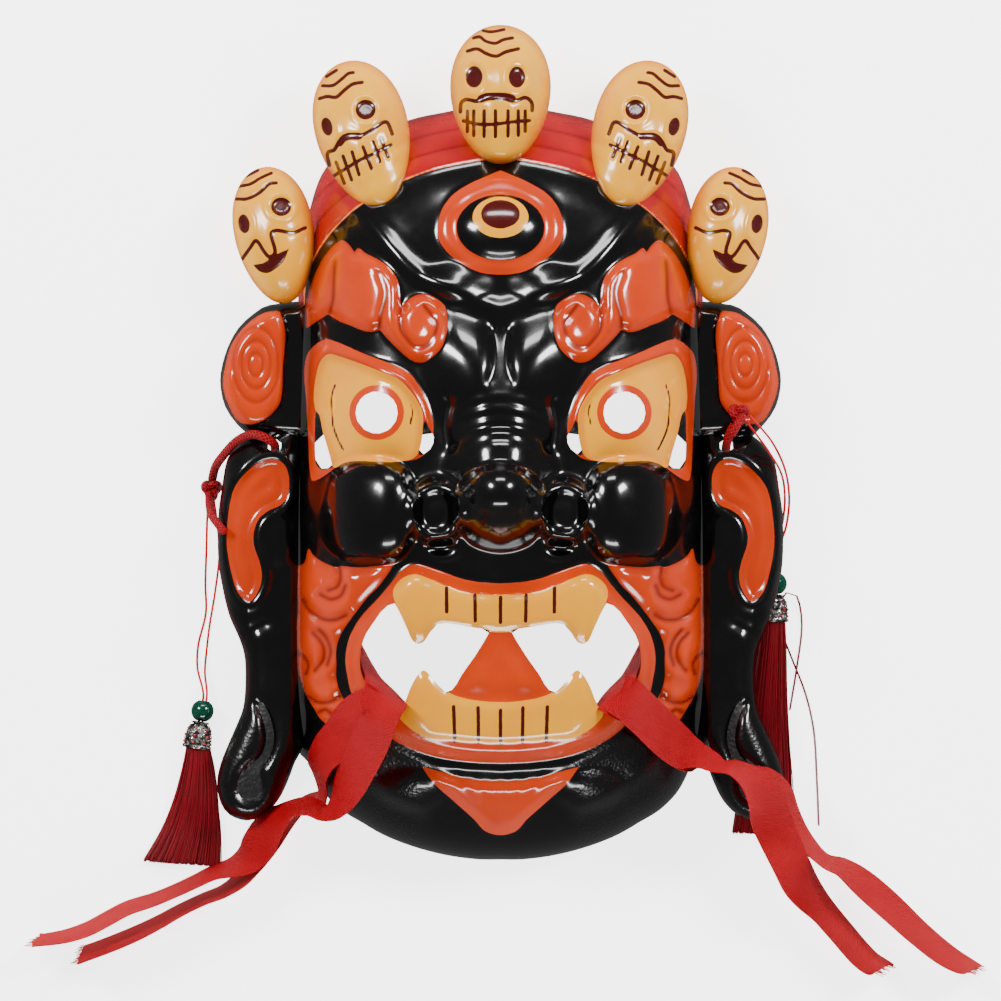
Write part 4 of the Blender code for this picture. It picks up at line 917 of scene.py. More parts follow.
# Each enamel: its colour, its darker patches and its painted shade, for grooves on the face and ears and for
# the skulls' shaded side and rim
ORANGE = [(0.54, 0.036, 0.0003, 1), (0.46, 0.027, 0.0003, 1), (0.11, 0.0045, 0.0010, 1)]
YELLOW = [(0.84, 0.345, 0.004, 1), (0.80, 0.29, 0.003, 1), (0.60, 0.120, 0.002, 1)]
RED = [(0.38, 0.0006, 0.0040, 1), (0.30, 0.0005, 0.0030, 1), (0.12, 0.0005, 0.0015, 1)]
CREAM = [(0.82, 0.37, 0.004, 1), (0.80, 0.31, 0.003, 1), (0.62, 0.10, 0.002, 1)]


def enamel(tree, colours, patch, shade):
    """An enamel with its darker patches, and painted shade by the given share: in grooves, or on a skull's
    shaded side and rim.
    """
    plain, patchy, deep = colours
    return mix(tree, shade, mix(tree, patch, plain, patchy), deep)


def painted(tree, place, key, waver):
    """Where one of the named zones holds paint."""
    inputs = {"Zone": attribute(tree, key), "Waver": waver, "Vector": place}
    return group_node(tree, PAINT_EDGE, inputs).outputs["Paint"]


def enamel_material():
    """Black moulding under gloss, with orange, yellow, red and maroon enamel by drawn zones."""
    material, tree, bsdf = new_material("enamelled moulding")
    place = object_place(tree)
    leather = attribute(tree, "leather")
    patch = remap(tree, noise(tree, place, 42.0, 4.0), 0.35, 0.75)
    # Painted shade: the enamel darkens towards its deep colour in grooves, fold troughs and along zone edges
    shade = sum_of(tree, "MULTIPLY", attribute(tree, "groove"), 0.85, use_clamp=True)
    colour = BLACK
    # The last zone is a painted highlight: a gilt-coloured line along the lower ridge of the head band
    for key, waver, paint in (("red", 0.25, enamel(tree, RED, patch, shade)),
                              ("orange", 0.25, enamel(tree, ORANGE, patch, shade)),
                              ("yellow", 0.25, enamel(tree, YELLOW, patch, shade)),
                              ("maroon", 0.35, MAROON), ("gilt", 0.5, PAINTED_HIGHLIGHT_COLOUR)):
        colour = mix(tree, painted(tree, place, key, waver), colour, paint)
    skin = group_node(tree, SKIN, {"Vector": place, "Leather": leather, "Peel": 0.10})
    rough = remap(tree, skin.outputs["Dust"], 0.0, 1.0, 0.17, 0.30)
    rough = sum_of(tree, "MULTIPLY_ADD", leather, 0.16, rough)
    finish_surface(tree, bsdf, colour, rough, {"Coat Weight": 0.6, "Coat Roughness": 0.06, "IOR": 1.5},
                   (0.5, 0.0006, skin.outputs["Height"]))
    return material


def back_material():
    """The unpainted back of the moulding: satin black with the grain of its mould."""
    material, tree, bsdf = new_material("unpainted moulding back")
    skin = group_node(tree, SKIN, {"Vector": object_place(tree), "Leather": 0.5, "Peel": 0.5})
    dust = skin.outputs["Dust"]
    colour = mix(tree, dust, (0.004, 0.0037, 0.0037, 1), (0.010, 0.009, 0.009, 1))
    finish_surface(tree, bsdf, colour, remap(tree, dust, 0.0, 1.0, 0.42, 0.62),
                   bump=(0.6, 0.0008, skin.outputs["Height"]))
    return material


def bone_material():
    """Cream enamel of the skulls, with painted shade towards one side and round the rim, and maroon brush
    lines.
    """
    material, tree, bsdf = new_material("skull enamel")
    place = object_place(tree)
    patch = remap(tree, noise(tree, place, 60.0, 4.0), 0.3, 0.8)
    bone = enamel(tree, CREAM, patch, attribute(tree, "shade"))
    colour = mix(tree, painted(tree, place, "ink", 0.19), bone, (0.055, 0.0020, 0.0014, 1))
    skin = group_node(tree, SKIN, {"Vector": place, "Leather": 0.0, "Peel": 0.12})
    finish_surface(tree, bsdf, colour, remap(tree, skin.outputs["Dust"], 0.0, 1.0, 0.22, 0.34),
                   {"Coat Weight": 0.4, "Coat Roughness": 0.10}, (0.5, 0.0006, skin.outputs["Height"]))
    return material


def ribbon_material():
    """Woven satin-back ribbon: fine cross ribs, warp lines and lint, along its own length, with painted
    highlights on the crests of the ribs.
    """
    material, tree, bsdf = new_material("woven ribbon")
    along, across = weave_place(tree)
    lean = sum_of(tree, "MULTIPLY_ADD", across, 0.55, along)
    rib = sum_of(tree, "SINE", sum_of(tree, "MULTIPLY", lean, math.tau / 0.95))
    warp = sum_of(tree, "SINE", sum_of(tree, "MULTIPLY", across, math.tau / 0.70))
    height = sum_of(tree, "MULTIPLY_ADD", rib, 0.6, sum_of(tree, "MULTIPLY", rib, warp))
    cloud = noise(tree, object_place(tree), 90.0, 5.0)
    base = mix(tree, cloud, (0.26, 0.0002, 0.0040, 1), (0.40, 0.0004, 0.0055, 1))
    # Painted highlight: the crests of the ribs are coloured a lighter red
    light = remap(tree, height, -1.4, 1.4, 0.0, 0.55)
    finish_surface(tree, bsdf, mix(tree, light, base, (0.62, 0.0012, 0.0080, 1)), 0.62,
                   {"Sheen Weight": 0.02, "Sheen Roughness": 0.4, "Sheen Tint": (0.25, 0.01, 0.012, 1),
                    "Specular IOR Level": 0.12}, (0.8, 0.0003, height))
    return material


def braid_material():
    """Red braided cord: two sets of strands that cross round it, with painted highlights on the strands and
    painted shade between them.
    """
    material, tree, bsdf = new_material("braided cord")
    along, across = weave_place(tree)
    waves = []
    for turns in (6, -6):
        lean = sum_of(tree, "MULTIPLY", across, math.tau * turns)
        turn = sum_of(tree, "MULTIPLY", along, math.tau / 1.7)
        waves.append(sum_of(tree, "SINE", sum_of(tree, "ADD", lean, turn)))
    height = sum_of(tree, "MAXIMUM", *waves)
    # Painted light and shade: strand crests lighter, the hollows between strands darker
    colour = mix(tree, remap(tree, height, -0.6, 1.0), (0.14, 0.0003, 0.0026, 1), (0.36, 0.0008, 0.0062, 1))
    finish_surface(tree, bsdf, colour, 0.6, {"Specular IOR Level": 0.2}, (0.8, 0.0005, height))
    return material


def silk_material():
    """Dark red silk: each strand a little lighter or darker than the next."""
    material, tree, bsdf = new_material("silk strands")
    cloud = noise(tree, object_place(tree), 300.0)
    silk = mix(tree, attribute(tree, "tone"), (0.10, 0.0004, 0.0035, 1), (0.30, 0.0010, 0.0090, 1))
    finish_surface(tree, bsdf, mix(tree, cloud, silk, (0.15, 0.0006, 0.0050, 1)),
                   remap(tree, cloud, 0.0, 1.0, 0.30, 0.5), {"Sheen Weight": 0.04, "Specular IOR Level": 0.3})
    return material


def cloudy_material(name, colours, rough, scale, values=None, detail=2.0, span=None, **more):
    """A material between two colours and two roughnesses, by one cloudy value."""
    material, tree, bsdf = new_material(name)
    cloud = noise(tree, object_place(tree), scale, detail, **more)
    share = remap(tree, cloud, *span) if span else cloud
    finish_surface(tree, bsdf, mix(tree, share, *colours), remap(tree, share, 0.0, 1.0, *rough), values)
    return material


def silver_material():
    """Cast silver with dark tarnish left in its hollows."""
    material, tree, bsdf = new_material("tarnished silver")
    pits = cells(tree, object_place(tree), 520.0)
    low = remap(tree, pits, 0.25, 0.7)
    colour = mix(tree, low, (0.60, 0.59, 0.56, 1), (0.030, 0.027, 0.025, 1))
    finish_surface(tree, bsdf, colour, remap(tree, low, 0.0, 1.0, 0.20, 0.55), {"Metallic": 1.0},
                   (0.7, 0.0006, pits), invert=True)
    return material


ENAMEL = enamel_material()
BACK = back_material()
BONE = bone_material()
RIBBON_CLOTH = ribbon_material()
BRAID = braid_material()
SILK = silk_material()
THREAD = cloudy_material("red thread", [(0.36, 0.0006, 0.0060, 1), (0.62, 0.0014, 0.0100, 1)], (0.45, 0.65),
                         500.0, {"Specular IOR Level": 0.2})
BEAD_STONE = cloudy_material("green bead stone", [(0.0, 0.022, 0.012, 1), (0.001, 0.060, 0.032, 1)],
                             (0.05, 0.16), 240.0, {"Coat Weight": 0.5, "Coat Roughness": 0.04},
                             detail=5.0, span=(0.3, 0.75), Distortion=1.5)
SILVER = silver_material()
ENAMEL_DROPS = cloudy_material("red enamel drops", [(0.25, 0.001, 0.005, 1), (0.42, 0.020, 0.020, 1)],
                               (0.1, 0.3), 700.0)


# Camera
PHOTO_PIXELS = 1001
PIXEL = 0.44
MIDDLE_ROW = 443
CAMERA_HEIGHT = 7.0
FOCUS_HEIGHT = 0.03


def make_camera():
    """Straight above the mask, far off, with one pixel of the photo as wide as the scale says."""
    data = bpy.data.cameras.new("camera")
    camera = bpy.data.objects.new("camera", data)
    bpy.context.scene.collection.objects.link(camera)
    half_view = 0.5 * PHOTO_PIXELS * PIXEL * MM
    data.lens = data.sensor_width / 2 / (half_view / (CAMERA_HEIGHT - FOCUS_HEIGHT))
    camera.location = (0, (MIDDLE_ROW - PHOTO_PIXELS / 2) * PIXEL * MM, CAMERA_HEIGHT)
    bpy.context.scene.camera = camera


make_camera()


# Cords, knots and threads
def directions(line):
    """Unit directions along a line of points."""
    runs = np.gradient(line, axis=0)
    return runs / np.linalg.norm(runs, axis=1)[:, None]


def distances(line):
    """How far along a line each of its points is."""
    return np.concatenate([[0], np.cumsum(np.linalg.norm(np.diff(line, axis=0), axis=1))])


def tube(name, route, radius, material, sides, step):
    """A round cord along a route, with closed ends and a weave map in millimetres."""
    path = smooth_curve(route, step)
    runs, along = directions(path), distances(path)
    across = np.cross(runs[0], (0.31, 0.17, 0.93))
    turns = np.arange(sides) * math.tau / sides
    rings = []
    for place, run in zip(path, runs):
        across = across - run * across.dot(run)
        across /= np.linalg.norm(across)
        up = np.cross(run, across)
        rings.append(place + radius * (np.outer(np.cos(turns), across) + np.outer(np.sin(turns), up)))
    faces, maps = [], []
    for k in range(len(path) - 1):
        for s in range(sides):
            n = (s + 1) % sides
            faces.append((k * sides + s, k * sides + n, (k + 1) * sides + n, (k + 1) * sides + s))
            u0, u1 = along[k], along[k + 1]
            v0, v1 = s / sides, (s + 1) / sides
            maps += [(u0, v0), (u0, v1), (u1, v1), (u1, v0)]
    last = (len(path) - 1) * sides
    faces += [tuple(range(sides - 1, -1, -1)), tuple(range(last, last + sides))]
    maps += [(0, 0)] * sides + [(along[-1], 0)] * sides
    obj = make_mesh(name, np.concatenate(rings), faces, material)
    obj.data.uv_layers.new(name="weave").data.foreach_set("uv", np.array(maps, np.float32).ravel())
    return obj, path


def make_ear_cord(side):
    cord, path = tube(f"ear_cord_{side}_braid", CORD_ROUTES[side], CORD_RADIUS, BRAID, 16, 1.5)
    knot = tied_knot(side)
    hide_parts(f"ear_cord_{side}")
    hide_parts(f"knot_{side}")
    for piece in [cord] + knot:
        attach(piece, "root")


def tied_knot(side):
    """An overhand knot drawn tight in the cord, with the cord's cut end standing out of it."""
    middle = np.array(TASSEL_LAY[side]["knot"])
    middle[2] = max(middle[2], LOWEST_KNOT)
    turns = np.linspace(0, math.tau, 72, endpoint=False)
    points = np.stack([1.22 * (np.sin(turns) + 1.75 * np.sin(2 * turns)),
                       1.35 * (np.cos(turns) - 1.75 * np.cos(2 * turns)),
                       -1.9 * np.sin(3 * turns)], axis=1)
    route = np.concatenate([points, points[:1]]) + middle
    knot, _ = tube(f"knot_{side}_tied", route, 1.75, BRAID, 12, 0.9)
    end, _ = tube(f"knot_{side}_end", KNOT_ENDS[side], 1.85, BRAID, 12, 1.2)
    return [knot, end]


def tassel_axis(side):
    """The middle of the bead, and the way that the tassel hangs from it."""
    heading = np.array((*TASSEL_LAY[side]["heading"], 0.0))
    return np.array((*TASSEL_LAY[side]["bead"], BEAD_RADIUS + 0.3)), heading / np.linalg.norm(heading)


def make_threads(side):
    """The two threads from the knot, side by side into the bead."""
    bead, heading = tassel_axis(side)
    across = np.array((-heading[1], heading[0], 0.0))
    for number, strand in enumerate(TASSEL_LAY[side]["strands"], 1):
        sign = 1 if (number == 1) == (side == "right") else -1
        off = across * sign * 0.8
        route = [np.array(p) for p in strand]
        route += [bead - heading * 7.5 + off, bead + off, bead + heading * 6.2 + off]
        thread, path = tube(f"thread_{side}_{number}_twist", route, THREAD_RADIUS, THREAD, 8, 1.6)
        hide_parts(f"thread_{side}_{number}")
        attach(thread, "root")


for side in ("left", "right"):
    make_ear_cord(side)
for side in ("left", "right"):
    make_threads(side)


# Face, ears and skulls
def face_paint(x, y):
    """How far each point is inside each colour of paint, from the drawn zones."""
    side = np.abs(x)

    def half(points):
        return signed_distance(smooth_curve(points, 1.5, True), side, y, 4.0)

    def whole(points):
        return signed_distance(smooth_curve(both_halves(points), 1.5, True), x, y, 4.0)

    def stroke(points, width):
        return width - line_distance(smooth_curve(points, 1.0), side, y, 4.0)

    third = whole(THIRD_EYE)
    black_eye = ellipse(x, y, *THIRD_EYE_BLACK)
    eyeball = half(EYEBALL)
    pupil = PUPIL_RADIUS + 2.8 - np.hypot(side - PUPIL_MIDDLE[0], y - PUPIL_MIDDLE[1])
    teeth = np.maximum(whole(TEETH_UPPER), whole(TEETH_LOWER))
    tongue = whole(TONGUE)
    lips = whole(LIPS)
    orange = np.maximum.reduce([
        half(BROW), np.minimum(half(LID), 4), half(CHEEK), lips, tongue, whole(GOATEE),
        np.minimum(third, -black_eye)])
    yellow = np.maximum.reduce([
        np.minimum(eyeball, -pupil), teeth, ellipse(x, y, *THIRD_EYE_WHITE)])
    maroon = np.maximum.reduce([
        ellipse(x, y, *THIRD_EYE_PUPIL), stroke(EYE_LINE_OUTER, 0.45), stroke(EYE_LINE_INNER, 0.4)]
        + [stroke(line, 0.8) for line in TOOTH_LINES])
    band = -signed_distance(FOREHEAD_LOOP, x, y, 4.0)
    # Painted shade: darker enamel in the carved grooves, the troughs of the band's folds, along the edges of
    # brows, cheeks and eyeballs, and just inside the eyeball's rim
    groove = np.zeros_like(x)
    for line in [BROW_SPLIT, BROW_FOLD, SPIRAL] + CHEEK_CURLS:
        groove = np.maximum(groove, np.exp(-(line_distance(smooth_curve(line, 1.5), side, y) / 0.9)**2))
    fold = np.sin(np.maximum(band_depth(x, y), 0) * math.pi / FOLD_PITCH)
    folds = np.exp(-(fold / 0.22)**2) * ease(band / 3)
    groove = np.maximum(groove, 0.8 * folds)
    drawn = (half(BROW), half(CHEEK), eyeball)
    edge = np.maximum.reduce([np.exp(-(np.abs(field) / 0.8)**2) * 0.5 for field in drawn])
    groove = np.maximum(groove, np.where(orange > -0.2, edge, 0))
    groove = np.maximum(groove, np.where(eyeball > 0, 0.55 * np.exp(-(eyeball / 2.6)**2), 0))
    leather = 0.6 * ease((-118 - y) / 20) * ease((side - 26) / 16)
    # The gilt-coloured line along the band's lower edge is a painted highlight on its ridge
    return {"red": (band, -4), "orange": (orange, -4), "yellow": (yellow, -4), "maroon": (maroon, -4),
            "gilt": (0.35 - np.abs(band - 0.5), -4), "groove": (groove, 0), "leather": (leather, 0)}


def circle_hole(middle, radius):
    return lambda x, y: radius - np.hypot(np.abs(x) - middle[0], y - middle[1])


def outline_hole(loop):
    return lambda x, y: signed_distance(loop, np.abs(x), y, 6.0)


def make_face():
    holes = [circle_hole(PUPIL_MIDDLE, PUPIL_RADIUS), outline_hole(MOUTH_LOOP)]
    holes += [outline_hole(loop) for loop in SLOT_LOOPS]
    face = shell(
        "mask_face", (-94.4, -185.6), (94.4, 150.4), HEAD_STEP, BACK_STEP, head_field, holes,
        lambda x, y: head_front(x, y, head_field(x, y)), lambda x, y: head_back(x, y, head_field(x, y)),
        face_paint)
    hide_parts("mask")
    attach(face, "root")


def make_ear(sign, side):
    def paint(x, y):
        x = np.abs(x)
        helix = signed_distance(HELIX_LOOP, x, y, 4.0)
        disc = signed_distance(smooth_curve(DISC, 1.5, True), x, y, 4.0)
        ring = disc_ring(x, y)
        # Painted shade: darker in the disc's ring grooves and along the disc's edge
        groove = 0.45 * sum(np.exp(-((ring - r) / 0.9)**2) for r in DISC_RINGS) * ease(disc / 2)
        groove = np.maximum(groove, 0.5 * np.exp(-(disc / 0.8)**2) * (disc > -0.2))
        leather = ease((-112 - y) / 16) * 0.3
        blank = np.full_like(x, -4.0)
        return {"red": (blank, -4), "orange": (np.maximum(helix, disc - 0.7), -4), "yellow": (blank, -4),
                "maroon": (blank, -4), "gilt": (blank, -4), "groove": (groove, 0), "leather": (leather, 0)}

    low, high = ((83.2, -168), (126.4, 62.4)) if sign > 0 else ((-126.4, -168), (-83.2, 62.4))
    ear = shell(
        f"mask_ear_{side}", low, high, EAR_STEP, EAR_BACK_STEP, lambda x, y: ear_field(np.abs(x), y),
        [circle_hole(EAR_HOLE_MIDDLE, EAR_HOLE_RADIUS)],
        lambda x, y: ear_form(np.abs(x), y), lambda x, y: ear_form(np.abs(x), y, WALL), paint)
    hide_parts("mask")
    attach(ear, "root")


def make_skull(name, sign, label):
    """A painted skull in low relief: a round dome with sunk eyes, and a wall behind it."""
    skull = SKULLS[name]
    count = SKULL_CELLS
    u, v = np.meshgrid(np.linspace(-1, 1, count + 1), np.linspace(-1, 1, count + 1))
    u, v = u.ravel(), v.ravel()
    big = np.maximum(np.abs(u), np.abs(v))
    round_off = np.hypot(u, v)
    share = np.where(round_off > 0, big / np.maximum(round_off, 1e-9), 0)
    across, up = u * share, v * share
    reach = np.hypot(across, up)
    grow = np.where(reach > 0, np.sin(reach * math.pi / 2) / np.maximum(reach, 1e-9), math.pi / 2)
    across, up = across * grow, up * grow
    turn = math.radians(skull["turn"])
    dx = across * (1 + JAW_TAPER * up) * skull["wide"]
    dy = up * skull["long"]
    x = skull["middle"][0] + dx * math.cos(turn) - dy * math.sin(turn)
    y = skull["middle"][1] + dx * math.sin(turn) + dy * math.cos(turn)
    inside_head = head_field(x, y)
    crest = skull["crest"] - skull["lean"] * (np.hypot(x, y) - np.hypot(*skull["middle"]))
    floor = np.maximum(0.55 * crest, np.where(inside_head > 0, head_front(x, y, inside_head) - 1.6, 0))
    floor = np.minimum(floor, crest - 4)
    height = floor + (crest - floor) * np.sqrt(np.maximum(0, 1 - across**2 - up**2))
    ink = np.full_like(x, -3.0)
    for cx, cy, rx, ry, tilt in SKULL_EYES[name]:
        c, s = math.cos(math.radians(tilt)), math.sin(math.radians(tilt))
        ex, ey = (x - cx) * c + (y - cy) * s, -(x - cx) * s + (y - cy) * c
        eye = ellipse(ex, ey, 0, 0, rx, ry)
        ink = np.maximum(ink, eye)
        height -= 2.0 * ease((eye + 1.2) / 3.0)
        height += 0.7 * np.exp(-((eye + 2.0) / 1.2)**2)
    for line, width in SKULL_INK[name]:
        away = line_distance(smooth_curve(line, 0.8), x, y, 6.0)
        ink = np.maximum(ink, width + 0.28 - away)
        height -= 0.5 * np.exp(-(away / 1.2)**2)
    if name == "skull_outer":
        smile = signed_distance(smooth_curve(SMILE, 1.0, True), x, y, 3.0)
        ink = np.maximum(ink, smile)
        height -= 0.8 * ease((smile + 0.5) / 2)
    # Painted shade: darker towards one side of the skull and round its rim
    across_share, deepest = (1, 0.55) if name == "skull_outer" else (0.9, 0.3)
    shade = ease((across * across_share - 0.55) / 0.5) * deepest
    shade = np.maximum(shade, 0.45 * ease((np.hypot(across, up) - 0.86) / 0.14))
    side_x = x * sign
    front = np.column_stack([side_x, y, height])
    back_x = (skull["middle"][0] + (x - skull["middle"][0]) * SKULL_BACK_SHARE) * sign
    back_y = skull["middle"][1] + (y - skull["middle"][1]) * SKULL_BACK_SHARE
    back = np.column_stack([back_x, back_y, floor + (height - floor) * 0.86 - 1.0])
    rows = count + 1
    faces = []
    for j in range(count):
        for i in range(count):
            a = j * rows + i
            quad = (a, a + 1, a + rows + 1, a + rows)
            faces.append(quad if sign > 0 else quad[::-1])
    picked = np.arange(0, rows, SKULL_BACK_EVERY)
    back = back[[j * rows + i for j in picked for i in picked]]
    total = len(front)
    size = len(picked)
    for n in range(size - 1):
        for m in range(size - 1):
            a = total + n * size + m
            quad = (a, a + size, a + size + 1, a + 1)
            faces.append(quad if sign > 0 else quad[::-1])
    ring = [(0, i) for i in range(rows)] + [(j, rows - 1) for j in range(1, rows)]
    ring += [(rows - 1, i) for i in range(rows - 2, -1, -1)] + [(j, 0) for j in range(rows - 2, 0, -1)]
    outer = [j * rows + i for j, i in ring]
    every = SKULL_BACK_EVERY
    inner = [total + (j // every) * size + i // every for j, i in ring if j % every == 0 and i % every == 0]
    points = np.concatenate([front, back])
    walls = []
    stitch(outer, inner, points, walls)
    faces += walls if sign > 0 else [w[::-1] for w in walls]
    values = {"ink": np.concatenate([ink, np.full(len(back), -3.0)]),
              "shade": np.concatenate([shade, np.full(len(back), 0.5)])}
    piece = make_mesh(f"mask_{label}", points, faces, BONE, values, sharp=60)
    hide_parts("mask")
    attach(piece, "root")


make_face()
make_ear(-1, "left")
make_ear(1, "right")
make_skull("skull_middle", 1, "skull_middle")
for sign, side in ((1, "left"), (-1, "right")):
    make_skull("skull_inner", sign, f"skull_inner_{side}")
    make_skull("skull_outer", sign, f"skull_outer_{side}")


# Fine strands
def strand_tree(sides):
    """Geometry nodes that give each strand of a bundle its thickness and material."""
    tree = bpy.data.node_groups.new("silk strands", "GeometryNodeTree")
    for label, way, kind in (("Strands", "INPUT", "Geometry"), ("Radius", "INPUT", "Float"),
                             ("Material", "INPUT", "Material"), ("Silk", "OUTPUT", "Geometry")):
        tree.interface.new_socket(label, in_out=way, socket_type=f"NodeSocket{kind}")
    given = tree.nodes.new("NodeGroupInput").outputs
    circle = node(tree, "GeometryNodeCurvePrimitiveCircle", {"Resolution": sides, "Radius": given["Radius"]})
    curve = node(tree, "GeometryNodeMeshToCurve", {"Mesh": given["Strands"]})
    body = node(tree, "GeometryNodeCurveToMesh", {"Curve": curve.outputs["Curve"],
                                                  "Profile Curve": circle.outputs["Curve"], "Fill Caps": True})
    real = node(tree, "GeometryNodeRealizeInstances", {"Geometry": body.outputs["Mesh"]})
    paint = node(tree, "GeometryNodeSetMaterial", {"Geometry": real.outputs["Geometry"],
                                                   "Material": given["Material"]})
    node(tree, "NodeGroupOutput", {"Silk": paint.outputs["Geometry"]})
    return tree


STRAND_TREE = strand_tree(5)


def bundle(name, strands, tones, radius, material):
    """Many fine strands as one mesh, each as round as the tree makes it."""
    verts, edges, tone = [], [], []
    for strand, value in zip(strands, tones):
        first = len(verts)
        verts += [tuple(np.array(p) * MM) for p in strand]
        edges += [(k, k + 1) for k in range(first, len(verts) - 1)]
        tone += [value] * len(strand)
    mesh = bpy.data.meshes.new(name)
    mesh.from_pydata(verts, edges, [])
    mesh.attributes.new("tone", "FLOAT", "POINT").data.foreach_set("value", np.array(tone, np.float32))
    obj = bpy.data.objects.new(name, mesh)
    bpy.context.scene.collection.objects.link(obj)
    modifier = obj.modifiers.new("strands", "NODES")
    modifier.node_group = STRAND_TREE
    listed = STRAND_TREE.interface.items_tree
    sockets = {item.name: item.identifier for item in listed if item.in_out == "INPUT"}
    modifier[sockets["Radius"]] = radius * MM
    modifier[sockets["Material"]] = material
    depsgraph = bpy.context.evaluated_depsgraph_get()
    made = bpy.data.meshes.new_from_object(obj.evaluated_get(depsgraph))
    obj.modifiers.clear()
    obj.data = made
    made.shade_smooth()
    return obj


# Ribbons
def lie_of_the_land():
    """Height of what the ribbons lie on: the floor, the head and the ears."""
    ground = Field((-216, -250), (222, -60), 1.5)
    x, y = ground.x, ground.y
    inside = head_field(x, y)
    top = np.where(inside > 0, head_front(x, y, inside), 0)
    near = (np.abs(x) > 82) & (np.abs(x) < 128)
    ear = np.zeros_like(x)
    level = ear_field(np.abs(x[near]), y[near])
    ear[near] = np.where(level > 0, ear_form(np.abs(x[near]), y[near]), 0)
    ground.grid = np.maximum(top, ear).reshape(ground.shape)
    return ground


def evened(rows):
    """A row of numbers or points, each inner one moved towards its neighbours."""
    out = rows.copy()
    out[1:-1] = (rows[:-2] + 2 * rows[1:-1] + rows[2:]) / 4
    return out


def laid_tail(stations, ground, lean):
    """Centres and width directions of a tail over what lies under it."""
    line = smooth_curve(stations, 1.6)
    plan, show = line[:, :2], np.clip(line[:, 2], 0.05, 1)
    runs = directions(plan)
    across = np.stack([-runs[:, 1], runs[:, 0]], axis=1)
    stand = np.sqrt(1 - show**2) * lean
    needed = np.zeros(len(plan))
    for t in np.linspace(-0.5, 0.5, 11) * RIBBON_WIDTH:
        spot = plan + across * (t * show)[:, None]
        needed = np.maximum(needed, ground(spot[:, 0], spot[:, 1]) + RIBBON_LIFT - t * stand)
    length = distances(plan)
    height = (needed[None, :] - STEEPEST_DRAPE * np.abs(length[:, None] - length)).max(axis=1)
    for _ in range(CLEAR_PASSES):
        height[1:-1] = np.maximum(needed, evened(height))[1:-1]
    for _ in range(FREE_PASSES):
        height = evened(height)
    return np.column_stack([plan, height]), np.column_stack([across * show[:, None], stand])


def cover(ground, centre, width):
    """Raises the ground to the top of a laid tail."""
    for place, side in zip(centre, width):
        for t in np.linspace(-0.5, 0.5, 27) * RIBBON_WIDTH:
            x, y, z = place + side * t
            i = int(round((x - ground.xs[0]) / ground.step))
            j = int(round((y - ground.ys[0]) / ground.step))
            for row in (j - 1, j, j + 1):
                for col in (i - 1, i, i + 1):
                    if 0 <= row < ground.shape[0] and 0 <= col < ground.shape[1]:
                        ground.grid[row, col] = max(ground.grid[row, col], z + RIBBON_THICKNESS)


def ribbon_course(side, ground):
    """Centres and width directions of a ribbon: under tail, loop inside the mouth, over tail."""
    tails = RIBBON_TAILS[side]
    sign = -1 if side == "left" else 1
    under, under_width = laid_tail(tails["under"], ground, -sign)
    cover(ground, under, under_width)
    over, over_width = laid_tail(tails["over"], ground, -sign)
    inside = smooth_curve([(sign * x, y, z) for x, y, z in RIBBON_INSIDE], 2.0)
    places = np.concatenate([under[::-1], inside, over])
    turn = ease(1 - inside[:, 2] / 70)
    level = np.column_stack([(0.83 - 0.37 * turn) * sign, 0.56 + 0.33 * turn, 0 * turn])
    level *= math.copysign(1, np.dot(level[0][:2], under_width[0][:2]))
    widths = np.concatenate([under_width[::-1], level, over_width])
    joined = slice(len(under) - 6, -len(over) + 6)
    for _ in range(COURSE_PASSES):
        places[joined] = evened(places)[joined]
    for _ in range(WIDTH_PASSES):
        widths = evened(widths)
    return places, widths


def cut_slip(before, after, column):
    """How far a slanted cut moves a point along the ribbon, near either end."""
    slant = (0.5 - column) * CUT_SLANT
    if after < CUT_REACH:
        return -slant * (1 - after / CUT_REACH)
    return slant * (1 - before / CUT_REACH) if before < CUT_REACH else 0.0


def ribbon_surface(places, runs, widths, along):
    """Points of both faces of the cloth, gently wavy, and where each is in the weave."""
    verts, uvs = [], []
    for length, place, run, across in zip(along, places, runs, widths):
        across = across - run * across.dot(run)
        across /= max(np.linalg.norm(across), 1e-6)
        up = np.cross(run, across)
        for layer in (-0.5, 0.5):
            for c in np.linspace(-0.5, 0.5, RIBBON_COLUMNS):
                wave = 0.35 * math.sin(length / 17.0 + 1.3) * (2 * c)**2 - 0.25 * math.cos(length / 9.0) * c
                lift = layer * RIBBON_THICKNESS * (1 - 0.3 * abs(2 * c)**6) + wave
                slip = cut_slip(length, along[-1] - length, c)
                verts.append(place + across * c * RIBBON_WIDTH + up * lift + run * slip)
                uvs.append((length, c * RIBBON_WIDTH))
    verts = np.array(verts)
    verts[:, 2] = np.maximum(verts[:, 2], 0.15)
    return verts, uvs


def ribbon_faces(stations):
    """Faces of a closed strip: both sides, both selvedges and the two cuts."""
    n = RIBBON_COLUMNS
    faces = []
    for a in range(0, 2 * n * (stations - 1), 2 * n):
        b = a + 2 * n
        for c in range(n - 1):
            faces.append((a + c, b + c, b + c + 1, a + c + 1))
            faces.append((a + n + c, a + n + c + 1, b + n + c + 1, b + n + c))
        faces.append((a, a + n, b + n, b))
        faces.append((a + n - 1, b + n - 1, b + 2 * n - 1, a + 2 * n - 1))
    last = 2 * n * (stations - 1)
    for c in range(n - 1):
        faces.append((c, c + 1, n + c + 1, n + c))
        faces.append((last + c, last + n + c, last + n + c + 1, last + c + 1))
    return faces


